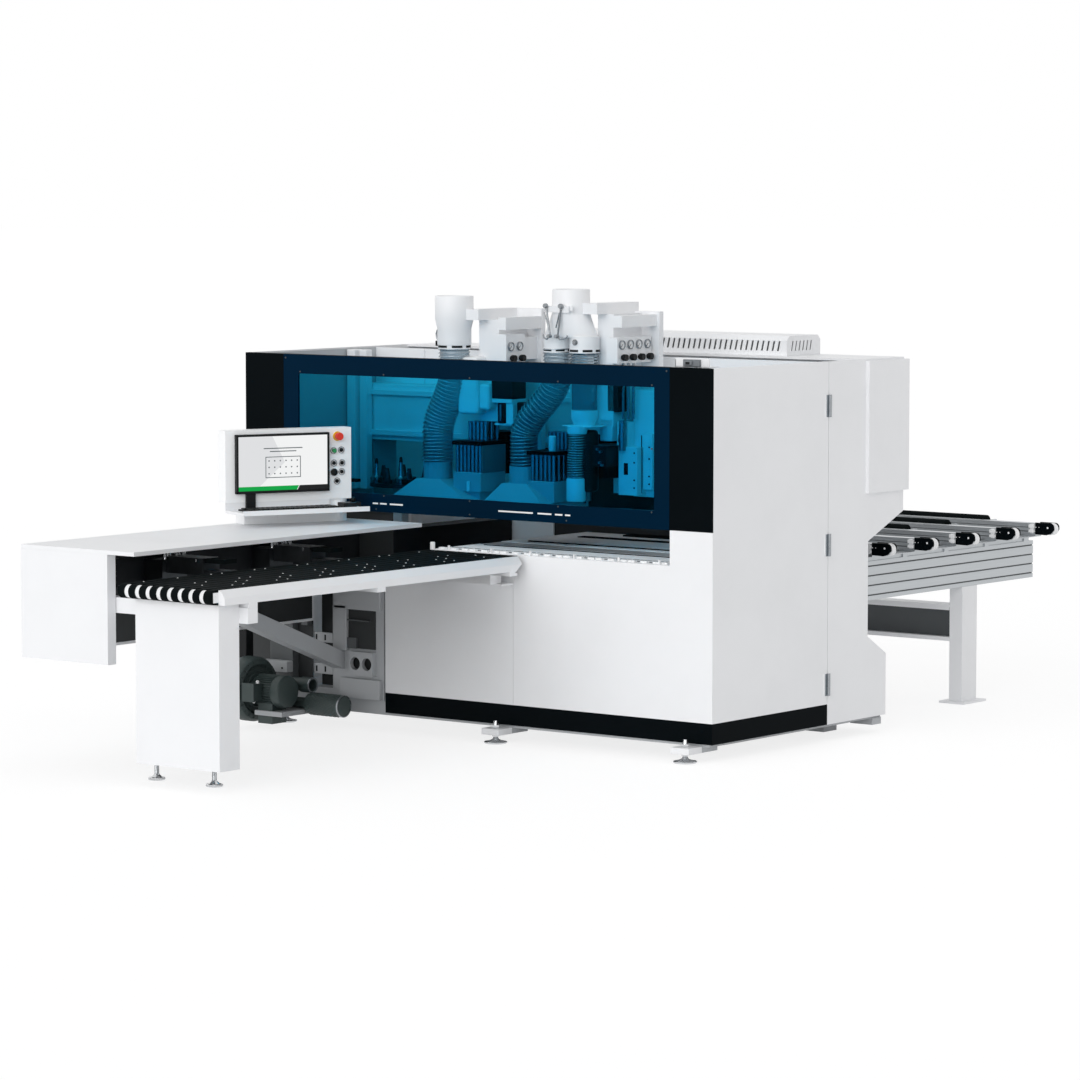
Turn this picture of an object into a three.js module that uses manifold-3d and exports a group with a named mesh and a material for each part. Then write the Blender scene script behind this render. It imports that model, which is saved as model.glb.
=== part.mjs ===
// A six sided CNC drilling machine for furniture boards, as a scene graph of separate pieces.
// Lengths are in millimetres. X runs to the right across the front, Y runs back through the machine in
// the direction that a board is fed, and Z is up. Until the last lines X is zero at the right side of
// the cabinet, Y at its front and Z at the floor. The last lines move the origin to the middle of the
// footprint.

import * as THREE from 'three';
import { mergeVertices } from 'three/addons/utils/BufferGeometryUtils.js';
import Module from 'manifold-3d';

const wasm = await Module();
wasm.setup();

// Fits and sheet metal
const fit = 0.3;
const slideGap = 1;
const lap = 1;
const overrun = 10;
const sheet = 4;
const flange = 20;
const sidePlate = 12;
const roundSides = 20;
const smallSides = 10;

// Cabinet
const cabinetWidth = 3066;
const cabinetDepth = 1707;
const cabinetHeight = 1950;
const openFrontWidth = 965;
const lowerFrontWidth = cabinetWidth - openFrontWidth;
const leftPanelWidth = 851;
const frontSeam = lowerFrontWidth - leftPanelWidth;
const seamGap = 2;
const tableHeight = 965;
const leftPanelTop = 885;
const windowBottom = 1142;
const rightPillarWidth = 262;
const rightBandWidth = 265;
const leftBandWidth = 268;
const bandDepth = 40;
const headerDrop = 70;
const skirtBottom = 89;
const skirtTop = 194;
const skirtThickness = 12;
const doorSeam = 1010;
const ledgeWidth = 374;
const ledgeRight = frontSeam + seamGap / 2;
const ledgeLeft = ledgeRight + ledgeWidth;
const ledgeReach = 90;
const ledgeBottom = 811;
const ledgeThickness = 9;

// Rear of the cabinet, seen from its side
const rearNoseHeight = 1146;
const rearNeckDepth = 1380;
const rearNoseSlope = 138;
const rearNeckTop = rearNoseHeight - rearNoseSlope;
const rearNeckBottom = 511;
const rearHeelDepth = 1552;
const rearHeelTop = 411;
const rearSkin = 12;
const roofWidth = 367;
const roofFront = cabinetDepth - roofWidth;
const roofThickness = 12;
const boardSlot = { side: 235, right: 150, drop: 35, height: 190 };

// Cover plate and hinges on the right side
const coverProud = 22;
const coverWidth = 377;
const coverBack = cabinetDepth + coverProud;
const coverFront = coverBack - coverWidth;
const coverRise = 111;
const coverDrop = 10;
const coverBottom = rearNoseHeight + coverRise;
const coverTop = cabinetHeight - coverDrop;
const coverThickness = 20;
const hingeDrop = 226;
const hingeRise = 102;
const topHinge = cabinetHeight - hingeDrop;
const lowHinge = skirtTop + hingeRise;
const middleHingeRaise = 3;
const hingeHeights = [topHinge, (topHinge + lowHinge) / 2 + middleHingeRaise, lowHinge];
const hingeLength = 113;
const hingeRadius = 7;
const hingeOut = 8;
const hingeLeafWidth = 34;
const hingeLeafThickness = 3;
const hingeLeafSet = 6;

// Window
const windowThickness = 12;
const glassThickness = 6;
const glassMargin = { left: 103, right: 95, bottom: 93, top: 102 };
const glassLeft = cabinetWidth - leftBandWidth - glassMargin.left;
const glassRight = rightBandWidth + glassMargin.right;
const glassBottom = windowBottom + glassMargin.bottom;
const glassTop = cabinetHeight - glassMargin.top;

// Vented cover on the roof
const ventRight = 520;
const ventLength = 1480;
const ventLeft = ventRight + ventLength;
const ventDepth = 310;
const ventBackMargin = 12;
const ventBack = cabinetDepth - ventBackMargin;
const ventFront = ventBack - ventDepth;
const ventHeight = 104;
const ventWall = 3;
const ventChamfer = 24;
const ventSlots = 24;
const ventSlotPitch = 34;
const ventSlotWidth = 11;
const ventSlotHeight = 52;
const ventSlotLean = 12;
const ventSlotSetIn = 40;
const ventSideSlots = 6;

// Base frame
const beamSection = 120;
const baseBottom = 75;
const baseTop = 190;
const baseMargin = { left: 76, right: 25 };
const baseLeft = cabinetWidth - baseMargin.left;
const baseRight = baseMargin.right;
const baseBack = rearHeelDepth - rearSkin;
const crossTubeSetIn = 180;
const crossTubeFront = baseBack - crossTubeSetIn - beamSection;
const footBracketWidth = 110;
const footBracketReach = 110;
const footBracketBottom = 47;
const footMargin = { right: 117, middle: 63, left: 337 };
const footReach = 65;
const leftFootReach = 73;
const footPlaces = {
  front_right: [-footMargin.right, -footReach],
  front_middle: [-frontSeam - footMargin.middle, -footReach],
  front_left: [-cabinetWidth + footMargin.left, -leftFootReach],
};
const footDiscRadius = 60;
const footDiscHeight = 12;
const footConeHeight = 14;
const footStudRadius = 11;
const footNutRadius = 20;
const footNutHeight = 10;
const rearPadWidth = 120;
const rearPadRight = 230;
const rearPadMargin = 306;
const rearPadLeft = cabinetWidth - rearPadMargin;
const rearPadSetIn = 100;
const rearPadBack = baseBack - rearPadSetIn;
const rearBracket = { left: 160, right: 20, depth: 80, proud: 2, bottom: 40 };
const towerWidth = 120;
const frameMargin = { left: 26, right: 20 };
const frameEnds = { left: cabinetWidth - frameMargin.left, right: frameMargin.right };
const towerFront = 880;
const towerDepth = 200;
const lowerBeamFront = 760;
const lowerBeamBottom = 560;
const lowerBeamTop = 700;
const blowerShelf = { start: 140, width: 190, reach: 400, thickness: 25 };
const magazineTop = 1200;
const magazinePostWidth = 60;

// Work table inside the cabinet
const workTable = { side: 20, right: 285, back: 1360, drop: 5, thickness: 30 };
const workTableLeg = 80;
const drillSlot = { left: 115, right: 215, front: 430, back: 610 };
const airSlots = 5;
const airSlotWidth = 30;
const airSlotPitch = 130;
const airSlotFront = 690;

// Gantry beam
const gantryBottom = 1450;
const gantryHeight = 300;
const gantryFront = 860;
const gantryDepth = 230;
const railHeight = 26;
const railDepth = 24;
const railSetIn = 40;

// Tool disc
const toolDisc = { side: 366, y: 900, radius: 200, thickness: 22, hubRadius: 55, hubHeight: 26 };
const toolCount = 8;
const toolPitchRadius = 162;
const toolCollarRadius = 27;
const toolCollarHeight = 18;
const toolConeRadius = 20;
const toolTipRadius = 9;
const toolConeHeight = 66;

// Drilling heads
const headLine = 500;
const plateThickness = 34;
const plateBottom = 1430;
const plateTop = 1800;
const backPlateTop = 2190;
const slideBottom = 1320;
const slideTop = 1540;
const slideFront = 640;
const blockBottom = 1300;
const blockTop = 1425;
const blockFront = 430;
const blockBack = 645;
const cylinderTop = 1560;
const cylinderRadius = 15;
const cylinderRows = 3;
const cylinderColumns = 4;
const noseFront = 452;
const noseBack = 548;
const noseBottom = 1150;
const drillRadius = 5;
const drillShankRadius = 10;
const drillLength = 62;
const drillShankLength = 26;
const hoodBottom = 1140;
const hoodSkirtTop = 1180;
const hoodTop = 1290;
const hoodFront = 330;
const hoodBack = 690;
const hoodNeckHalf = 82;
const hoodWall = 5;
const collarRadius = 76;
const collarHeight = 88;
const noseGap = fit;
const headSides = { 1: 836, 2: 1566 };
const heads = {
  1: {
    plateStart: 0,
    plateEnd: 540,
    towerStart: 292,
    towerEnd: 540,
    columnStart: 312,
    columnEnd: 445,
    topBarStart: 292,
    topBarEnd: 375,
    topBarFront: 475,
    topBarBottom: 2133,
    topBarTop: 2190,
    lowBarStart: 488,
    lowBarEnd: 538,
    lowBarFront: 500,
    lowBarBottom: 2085,
    lowBarTop: 2150,
    gaugeBoxStart: 445,
    gaugeBoxEnd: 540,
    gaugeBoxFront: 500,
    gaugeBoxBack: 660,
    gaugeBoxBottom: 1905,
    gaugeBoxTop: 2062,
    blockStart: 240,
    blockEnd: 425,
    hoodStart: -130,
    hoodEnd: 435,
    collarPlace: 79,
  },
  2: {
    plateStart: 0,
    plateEnd: 740,
    towerStart: 367,
    towerEnd: 583,
    columnStart: 367,
    columnEnd: 467,
    topBarStart: 333,
    topBarEnd: 425,
    topBarFront: 475,
    topBarBottom: 2180,
    topBarTop: 2237,
    lowBarStart: 511,
    lowBarEnd: 566,
    lowBarFront: 500,
    lowBarBottom: 2115,
    lowBarTop: 2175,
    gaugeBoxStart: 467,
    gaugeBoxEnd: 537,
    gaugeBoxFront: 500,
    gaugeBoxBack: 790,
    gaugeBoxBottom: 1930,
    gaugeBoxTop: 2063,
    blockStart: 10,
    blockEnd: 180,
    hoodStart: -231,
    hoodEnd: 200,
    collarPlace: -71,
  },
};
for (const [number, head] of Object.entries(heads)) {
  const side = -cabinetWidth + headSides[number];
  for (const part of ['plate', 'tower', 'column', 'block', 'hood', 'topBar', 'lowBar', 'gaugeBox']) {
    head[`${part}X`] = [head[`${part}Start`] + side, head[`${part}End`] + side];
  }
  head.collarX = head.collarPlace + side;
}
const webWidth = 40;
const columnFront = 560;
const columnBottom = 1600;
const sideColumn = { right: 20, width: 180, front: 640, bottom: 1240, top: 1790 };

// Extraction ports and hoses
const portTop = 2255;
const portStep = 2140;
const portBottom = 2000;
const portRadius = 92;
const portNeckRadius = 83;
const portWall = 5;
const twinPortTop = 2305;
const twinConeTop = 2180;
const twinConeBottom = 2062;
const twinConeHalf = 152;
const twinOutletRadius = 70;
const twinOutletSpacing = 176;
const hoseRadius = 76;
const hoseValley = 70;
const hoseBore = 60;
const hoseRibPitch = 21;
const hoseSides = 8;
const ribsPerBoreRing = 5;

// Router beside the second drilling block
const routerSide = 345;
const routerX = heads[2].plateX[0] + routerSide;
const routerSlideWidth = 115;
const routerSlideRight = routerX + routerSlideWidth;
const routerRadius = 58;
const routerBottom = 1262;
const routerTop = 1585;
const chuckRadius = 24;
const chuckLength = 46;
const cutterRadius = 8;
const cutterLength = 62;

// Drilling unit under the board
const lowerUnit = {
  side: 60, width: 160, front: 470, slideFront: 640, bottom: 500, top: 760, bodyBottom: 690, bodyTop: 830,
};
const lowerDrills = 4;
const lowerDrillRadius = 9;
const lowerDrillTop = 900;

// Side table and its cover
const sideTableSide = 479;
const sideTableWidth = 756;
const sideTable = { left: cabinetWidth - sideTableSide, front: 2190, back: 25, top: 1100, thickness: 20 };
sideTable.right = sideTable.left - sideTableWidth;
const coverPanelWidth = 579;
const coverPanelRight = sideTable.left - coverPanelWidth;
const coverPanelDepth = 57;
const coverPanelBottom = 545;
const coverWallThickness = 12;

// Gripper beam and grippers
const gripperBeamSide = 107;
const gripperBeamWidth = 150;
const gripperBeam = { left: sideTable.left - gripperBeamSide, back: 1360, bottom: 870, top: 1012 };
gripperBeam.right = gripperBeam.left - gripperBeamWidth;
const tablePost = { width: 80, depth: 90, frontSetBack: 60, backSetBack: 120 };
const gripperPlaces = { 1: -1500, 2: -700 };
const gripperCarriage = { depth: 180, width: 125, bottom: 885, top: 1000 };
const gripperArm = { depth: 120, reach: 245, bottom: 935, top: 1018 };
const gripperLip = { depth: 100, reach: 128, bottom: 938, top: 961 };
const gripperJaw = { depth: 96, reach: 124, bottom: 996, top: 1018 };

// Infeed conveyor
const bedSide = 36;
const bedWidth = 590;
const bed = { left: sideTable.right - bedSide, front: 2265, back: 22, thickness: 70 };
bed.right = bed.left - bedWidth;
const beltCurve = 8;
const noseRoller = { radius: 32, y: -2310, z: 930, axleRadius: 8 };
const belts = 9;
const beltWidth = 43;
const beltThickness = 3;
const railGap = 5;
const rail = { width: 40, front: 2290, back: 41, bottom: 893, bend: 928, ledge: 14, chamfer: 59 };
rail.right = bed.right - railGap - rail.width;
const noseBracket = { thickness: 8, reach: 2326, bottom: 906, top: 954 };
const leftRailWidth = 28;
const railDropBelowBelt = 1;
const leftRailTop = 950;
const crossMember = { height: 23, depth: 60, front: -2120, middle: -1180, back: -140 };
const hangerHalf = 150;
const hangerDepth = 40;
const legCoverSide = 47;
const legCoverWidth = 533;
const legCover = { left: bed.left - legCoverSide, front: 2272, back: 2130, top: 890, bottom: 102 };
legCover.right = legCover.left - legCoverWidth;
const legPostSide = 17;
const legPostSpacing = 373;
const legPosts = [-bed.left + legPostSide, -bed.left + legPostSide + legPostSpacing];
const legPostWidth = 50;
const legPostY = -2100;
const legPostDepth = 50;
const legPostBottom = 150;
const legFootRadius = 40;
const legStudRadius = 8;
const frontBeam = { side: 20, depth: 70, height: 75 };

// Welded support under the side table
const supportSide = 17;
const supportColumn = { width: 83, front: 2, depth: 138, top: 762 };
const supportPlateGap = 11;
const supportPlate = { thickness: 10, bottom: 150, top: 730, notchBottom: 520 };
const twoHoleBox = { right: 54, width: 158, front: -30, bottom: 275, height: 125, holeRadius: 34, holeSpacing: 78 };
const brace = { depth: 90, footBack: 60, footHeight: 366, headFront: -880, headHeight: 729, postDepth: 80 };

// Side channel blower
const blower = { side: 266, y: -330, z: 200, radius: 171, thickness: 110, hubRadius: 95 };
const blowerRim = 30;
const blowerSides = 32;
const motor = { radius: 86, length: 178, capRadius: 70, capLength: 30 };
const motorFoot = { width: 110, depth: 110 };
const terminalBox = { start: 50, width: 80, reach: 62, height: 90 };
const stubPipe = { y: -180, z: 225, radius: 35, bore: 29, length: 270 };
const silencer = { y: -190, z: 130, radius: 57, start: 340, length: 240, neckRadius: 28 };

// Console
const consoleTurn = 66.2;
const consoleSide = 367;
const consolePlace = [-sideTable.left + consoleSide, -130];
const housing = { width: 715, depth: 90, bottom: 1218, top: 1588 };
const stand = { left: -415, depth: 110, middle: 70, columnRadius: 62 };
const monitor = { left: -664, width: 528, height: 305, depth: 26, bottom: 1262, bezel: 12, recess: 2 };
const tray = { left: -715, right: 0, reach: 220, bottom: 1165, thickness: 15, lip: 4, lipHeight: 10, webDepth: 7 };
const stopButton = { x: -79, z: 1543, radius: 20, neckRadius: 10, length: 22, neckLength: 12 };
const startButton = { x: -102, z: 1469, radius: 11, neckRadius: 7, length: 9, neckLength: 8 };
const buttonTravel = 5;
const buttonBore = 2;

// Outfeed table
const outfeedArms = 5;
const armPitch = 411;
const armsFront = 1765;
const arm = { left: 1900, right: 230, tip: 115, width: 60, bottom: 885, top: 955 };
const armPlate = { thickness: 9, bottom: 895, top: 957 };
const pulley = { x: -143, z: 926, radius: 33, width: 41, axleRadius: 7 };
const sideRailRight = 310;
const sideRailWidth = 80;
const sideRailHeight = 207;
const sideRailDrop = 35;
const sideRailOverhang = 46;
const sideRailGrooves = 4;
const sideRail = {
  right: sideRailRight,
  left: sideRailRight + sideRailWidth,
  back: armsFront + (outfeedArms - 1) * armPitch + arm.width + sideRailOverhang,
  top: arm.bottom - sideRailDrop,
  bottom: arm.bottom - sideRailDrop - sideRailHeight,
  grooves: sideRailGrooves,
};
const railSpacerDepth = 40;
const plateCurve = 6;
const grooveWidth = 8;
const grooveDepth = 6;
const farRail = { left: 1860, right: 1780, bottom: 780 };
const outfeedRollers = 4;
const outfeedRoller = { left: 1850, right: 560, radius: 23, z: 942, axleRadius: 9, axleReach: 8 };
const rollerSetBack = 33;
const rollerBracket = { thickness: 10, width: 30 };
const outfeedLegWidth = 81;
const outfeedLegDepth = 150;
const outfeedLegSetIn = 585;
const outfeedLeg = { width: outfeedLegWidth, depth: outfeedLegDepth, back: sideRail.back - outfeedLegSetIn };
const outfeedBase = { reach: 40, thickness: 12 };
const channel = { bottom: 340, top: 540, depth: 110, flange: 14, web: 10 };

// Finishes
const finish = (color, roughness, metalness) => new THREE.MeshStandardMaterial({ color, roughness, metalness });
const white = finish('#eeeff1', 0.45, 0);
const grey = finish('#a9acb0', 0.5, 0);
const black = finish('#0a0e11', 0.35, 0);
const navy = finish('#001c33', 0.3, 0);
const tinted = new THREE.MeshStandardMaterial({
  color: '#0a6fb0', roughness: 0.05, metalness: 0, transparent: true, opacity: 0.35,
});
const aluminium = finish('#b9bdc1', 0.35, 1);
const steel = finish('#8f9498', 0.3, 1);
const rubber = finish('#15181a', 0.8, 0);
const hosePlastic = finish('#9fb6c4', 0.3, 0);
const castGrey = finish('#2f3b3d', 0.55, 0);
const red = finish('#d3261b', 0.35, 0);
const green = finish('#1f8f4e', 0.35, 0);

const machine = new THREE.Group();

// Geometry tools

// A block between two values on each axis.
function block([x0, x1], [y0, y1], [z0, z1]) {
  const geometry = new THREE.BoxGeometry(x1 - x0, y1 - y0, z1 - z0);
  return geometry.translate((x0 + x1) / 2, (y0 + y1) / 2, (z0 + z1) / 2);
}

// A round bar along one axis, placed by its other two coordinates in the order x, y, z.
function rod(axis, radius, [from, to], [first, second], sides = roundSides) {
  const geometry = new THREE.CylinderGeometry(radius, radius, to - from, sides);
  const middle = (from + to) / 2;
  if (axis === 'x') {
    return geometry.rotateZ(Math.PI / 2).translate(middle, first, second);
  }
  if (axis === 'y') {
    return geometry.translate(first, middle, second);
  }
  return geometry.rotateX(Math.PI / 2).translate(first, second, middle);
}

// An outline drawn in one plane and extruded square to it.
function prism(plane, outline, [from, to]) {
  const shape = new THREE.Shape(outline.map(([u, v]) => new THREE.Vector2(u, v)));
  const geometry = new THREE.ExtrudeGeometry(shape, { depth: to - from, bevelEnabled: false });
  const x = new THREE.Vector3(1, 0, 0);
  const y = new THREE.Vector3(0, 1, 0);
  const z = new THREE.Vector3(0, 0, 1);
  const basis = new THREE.Matrix4();
  if (plane === 'yz') {
    basis.makeBasis(y, z, x).setPosition(from, 0, 0);
  } else if (plane === 'xz') {
    basis.makeBasis(x, z, y.negate()).setPosition(0, to, 0);
  } else {
    basis.makeBasis(x, y, z).setPosition(0, 0, from);
  }
  return geometry.applyMatrix4(basis);
}

// A turned piece: a profile of radius and height, turned about the vertical axis.
function turned(profile, sides = roundSides) {
  const points = profile.map(([radius, height]) => new THREE.Vector2(radius, height));
  return new THREE.LatheGeometry(points, sides).rotateX(Math.PI / 2);
}

// A block whose top face has its own size and place.
function taper(lower, upper, [z0, z1]) {
  const geometry = new THREE.BoxGeometry(1, 1, 1);
  const corners = geometry.attributes.position;
  for (let i = 0; i < corners.count; i += 1) {
    const face = corners.getZ(i) > 0 ? upper : lower;
    const x = corners.getX(i) > 0 ? face.x[1] : face.x[0];
    const y = corners.getY(i) > 0 ? face.y[1] : face.y[0];
    corners.setXYZ(i, x, y, corners.getZ(i) > 0 ? z1 : z0);
  }
  return geometry;
}

function toSolid(geometry) {
  const bare = geometry.clone();
  bare.deleteAttribute('normal');
  bare.deleteAttribute('uv');
  const merged = mergeVertices(bare);
  return new wasm.Manifold(new wasm.Mesh({
    numProp: 3,
    vertProperties: merged.attributes.position.array,
    triVerts: new Uint32Array(merged.index.array),
  }));
}

function toGeometry(solid) {
  const mesh = solid.getMesh();
  const geometry = new THREE.BufferGeometry();
  geometry.setAttribute('position', new THREE.BufferAttribute(mesh.vertProperties, 3));
  geometry.setIndex(new THREE.BufferAttribute(mesh.triVerts, 1));
  geometry.computeVertexNormals();
  return geometry;
}

function join(...pieces) {
  return toGeometry(pieces.map(toSolid).reduce((whole, piece) => whole.add(piece)));
}

function cut(piece, ...tools) {
  return toGeometry(tools.map(toSolid).reduce((whole, tool) => whole.subtract(tool), toSolid(piece)));
}

// Puts a named piece into the machine, or into a group of it.
function add(name, geometry, material, parent = machine) {
  const mesh = new THREE.Mesh(geometry, material);
  mesh.name = name;
  parent.add(mesh);
  return mesh;
}

const span = (middle, half) => [middle - half, middle + half];

// The rear edge of the cabinet in side view, from the roof down to the heel.
const rearEdge = [
  [cabinetDepth, cabinetHeight],
  [cabinetDepth, rearNoseHeight],
  [rearNeckDepth, rearNeckTop],
  [rearNeckDepth, rearNeckBottom],
  [rearHeelDepth, rearHeelTop],
  [rearHeelDepth, skirtBottom],
];

const beamBottom = gripperBeam.bottom;
const discX = -cabinetWidth + toolDisc.side;
const blowerX = -cabinetWidth + blower.side;
const shelfLeft = blowerX + blowerShelf.start;
const workTableLeft = bed.left + workTable.side;
const workTableTop = tableHeight - workTable.drop;
const workTableBottom = workTableTop - workTable.thickness;
const baseFront = skirtThickness + fit;

// Base frame: a welded ring on the feet, two towers for the gantry and the posts for what stands inside.
function baseFrame() {
  const outer = block([-baseLeft, -baseRight], [baseFront, baseBack], [baseBottom, baseTop]);
  const hollow = block(
    [-baseLeft + beamSection, -baseRight - beamSection],
    [baseFront + beamSection, baseBack - beamSection],
    [baseBottom - overrun, baseTop + overrun],
  );
  const pieces = [cut(outer, hollow)];
  const crossTube = [crossTubeFront, crossTubeFront + beamSection];
  pieces.push(block([-baseLeft, -baseRight], crossTube, [baseBottom, baseTop]));

  for (const [x] of Object.values(footPlaces)) {
    const across = span(x, footBracketWidth / 2);
    pieces.push(block(across, [-footBracketReach, baseFront + beamSection], [footBracketBottom, baseBottom + lap]));
  }
  for (const right of [rearPadRight, rearPadLeft - rearPadWidth]) {
    pieces.push(block([-right - rearPadWidth, -right], [rearPadBack - rearPadWidth, rearPadBack], [0, baseTop]));
  }

  const { left, right, depth, proud, bottom } = rearBracket;
  pieces.push(block([-left, -right], [baseBack - depth, baseBack], [bottom, baseBottom + lap]));
  pieces.push(block([-left, -right], [baseBack - lap, baseBack + proud - 2 * fit], [bottom, baseBottom]));

  const towerDepthSpan = [towerFront, towerFront + towerDepth];
  const towers = [
    [-frameEnds.left, -frameEnds.left + towerWidth],
    [-frameEnds.right - towerWidth, -frameEnds.right],
  ];
  for (const across of towers) {
    pieces.push(block(across, towerDepthSpan, [baseBottom, gantryBottom - fit]));
    pieces.push(block(across, [baseFront + beamSection - lap, crossTubeFront + lap], [baseBottom, baseTop]));
  }
  const beamSpan = [-frameEnds.left, -frameEnds.right];
  pieces.push(block(beamSpan, [lowerBeamFront, towerFront + lap], [lowerBeamBottom, lowerBeamTop]));

  const postX = span(discX, magazinePostWidth / 2);
  const postY = [lowerBeamFront + magazinePostWidth, towerFront];
  pieces.push(block(postX, postY, [lowerBeamTop - lap, magazineTop - fit]));
  const headY = [towerFront - lap, toolDisc.y + magazinePostWidth / 2];
  pieces.push(block(postX, headY, [magazineTop - magazinePostWidth, magazineTop - fit]));

  for (const right of [workTable.right, workTableLeft - workTableLeg]) {
    const across = [-right - workTableLeg, -right];
    const frontLeg = [baseFront + flange, baseFront + flange + workTableLeg];
    pieces.push(block(across, frontLeg, [baseTop - lap, workTableBottom - fit]));
    pieces.push(block(across, [crossTubeFront, workTable.back], [baseTop - lap, workTableBottom - fit]));
  }
  pieces.push(block(
    [-gripperBeam.left, -gripperBeam.right], [crossTubeFront, crossTubeFront + beamSection],
    [baseTop - lap, beamBottom - fit],
  ));
  pieces.push(block(
    [shelfLeft, shelfLeft + blowerShelf.width], [-blowerShelf.reach, baseFront + lap],
    [baseBottom, baseBottom + blowerShelf.thickness],
  ));
  return join(...pieces);
}

// Black skirt round the foot of the front and the right side.
function skirt() {
  const height = [skirtBottom, skirtTop];
  const front = block([-lowerFrontWidth, 0], [0, skirtThickness], height);
  const side = block([-skirtThickness, 0], [0, doorSeam], height);
  return join(front, side);
}

// Right lower front panel with the pillar beside the working opening, a folded sheet.
function frontPanelRight() {
  const bottom = skirtTop + fit;
  const pillarTop = windowBottom - fit;
  const left = -frontSeam + seamGap / 2;
  const face = prism('xz', [
    [left, bottom], [0, bottom], [0, pillarTop], [-rightPillarWidth, pillarTop],
    [-rightPillarWidth, tableHeight], [left, tableHeight],
  ], [0, flange]);
  const doorRoom = block([-flange - fit, overrun], [sheet, flange + overrun], [bottom - overrun, pillarTop + overrun]);
  const right = -flange - fit - sheet;
  const low = block([left + sheet, right], [sheet, flange + overrun], [bottom + sheet, tableHeight - sheet]);
  const high = block(
    [-rightPillarWidth + sheet, right], [sheet, flange + overrun], [tableHeight - flange, pillarTop - sheet],
  );
  return cut(face, doorRoom, low, high);
}

// Left lower front panel with the ledge that carries the end of the infeed conveyor.
function frontPanelLeft() {
  const bottom = skirtTop + fit;
  const across = [-lowerFrontWidth, -frontSeam - seamGap / 2];
  const face = block(across, [0, flange], [bottom, leftPanelTop]);
  const pocket = block(
    [across[0] + sheet, across[1] - sheet], [sheet, flange + overrun], [bottom + sheet, leftPanelTop - sheet],
  );
  const ledge = block([-ledgeLeft, -ledgeRight - seamGap], [-ledgeReach, lap], [ledgeBottom, ledgeBottom + ledgeThickness]);
  return join(cut(face, pocket), ledge);
}

// Black frame of the upper front: a band at each end and the header that the window slides on.
function frontFrame() {
  const height = [windowBottom, cabinetHeight];
  const inner = -flange - fit;
  const rightFace = block([-rightBandWidth, 0], [0, sheet], height);
  const rightBody = block([-rightBandWidth, inner], [0, bandDepth], height);
  const leftBody = block([-cabinetWidth, -cabinetWidth + leftBandWidth], [0, bandDepth], height);
  const header = block(
    [-cabinetWidth, inner], [windowThickness + 2 * fit, bandDepth], [cabinetHeight - headerDrop, cabinetHeight],
  );
  return join(rightFace, rightBody, leftBody, header);
}

const windowLeft = -cabinetWidth + leftBandWidth + slideGap;
const windowRight = -rightBandWidth - slideGap;

// Navy window frame and the tinted sheet in it.
function windowFrame() {
  const face = block([windowLeft, windowRight], [0, windowThickness], [windowBottom, cabinetHeight - seamGap]);
  const opening = block([-glassLeft, -glassRight], [-overrun, windowThickness + overrun], [glassBottom, glassTop]);
  return cut(face, opening);
}

function windowGlass() {
  const middle = windowThickness / 2;
  return block(
    [-glassLeft + fit, -glassRight - fit], span(middle, glassThickness / 2), [glassBottom + fit, glassTop - fit],
  );
}

// Side door, a tray of folded sheet with its half of each hinge.
function sideDoor() {
  const height = [skirtTop + fit, cabinetHeight];
  const across = [-flange, 0];
  const length = [sheet + fit, doorSeam - seamGap];
  const face = block(across, length, height);
  const pocket = block(
    [-flange - overrun, -sheet], [length[0] + sheet, length[1] - sheet], [height[0] + sheet, height[1] - sheet],
  );
  const leaves = hingeHeights.map((z) => block(
    [-lap, hingeLeafThickness], [doorSeam - hingeLeafWidth, doorSeam - hingeLeafSet], span(z, hingeLength / 2),
  ));
  return join(cut(face, pocket), ...leaves);
}

// Rear half of the right side with its cover plate and the fixed half of each hinge.
function rearSidePanel() {
  const front = doorSeam + seamGap;
  const outline = [[front, skirtBottom], [front, cabinetHeight], ...rearEdge];
  const pieces = [prism('yz', outline, [-sidePlate, 0])];
  pieces.push(block([-lap, coverThickness], [coverFront, coverBack], [coverBottom, coverTop]));
  for (const z of hingeHeights) {
    const height = span(z, hingeLength / 2);
    pieces.push(block([-lap, hingeLeafThickness], [front, front + hingeLeafWidth], height));
    pieces.push(rod('z', hingeRadius, height, [hingeOut, doorSeam], smallSides));
    pieces.push(block([hingeLeafThickness - lap, hingeOut], [doorSeam, front + hingeRadius], height));
  }
  return join(...pieces);
}

// Left end, folded rear wall, rear roof strip and left front pillar, one folded shell.
function backPanels() {
  const left = -cabinetWidth;
  const wallFront = bandDepth + fit;
  const right = -sidePlate - fit;
  const end = prism('yz', [[wallFront, skirtBottom], [wallFront, cabinetHeight], ...rearEdge], [left, left + sidePlate]);
  const inside = rearEdge.map(([y, z]) => [y - rearSkin, z]).reverse();
  const rear = prism('yz', [...rearEdge, ...inside], [left, right]);
  const roof = block([left, right], [roofFront, cabinetDepth], [cabinetHeight - roofThickness, cabinetHeight]);
  const pillarTop = windowBottom - fit;
  const pillarSpan = [left, left + leftBandWidth];
  const pillar = block(pillarSpan, [0, wallFront + flange], [skirtTop, pillarTop]);
  const slotBottom = tableHeight - boardSlot.drop;
  const slot = block(
    [-workTableLeft - boardSlot.side, -boardSlot.right], [roofFront, cabinetDepth + overrun],
    [slotBottom, slotBottom + boardSlot.height],
  );
  return cut(join(end, rear, roof, pillar), slot);
}

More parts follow.
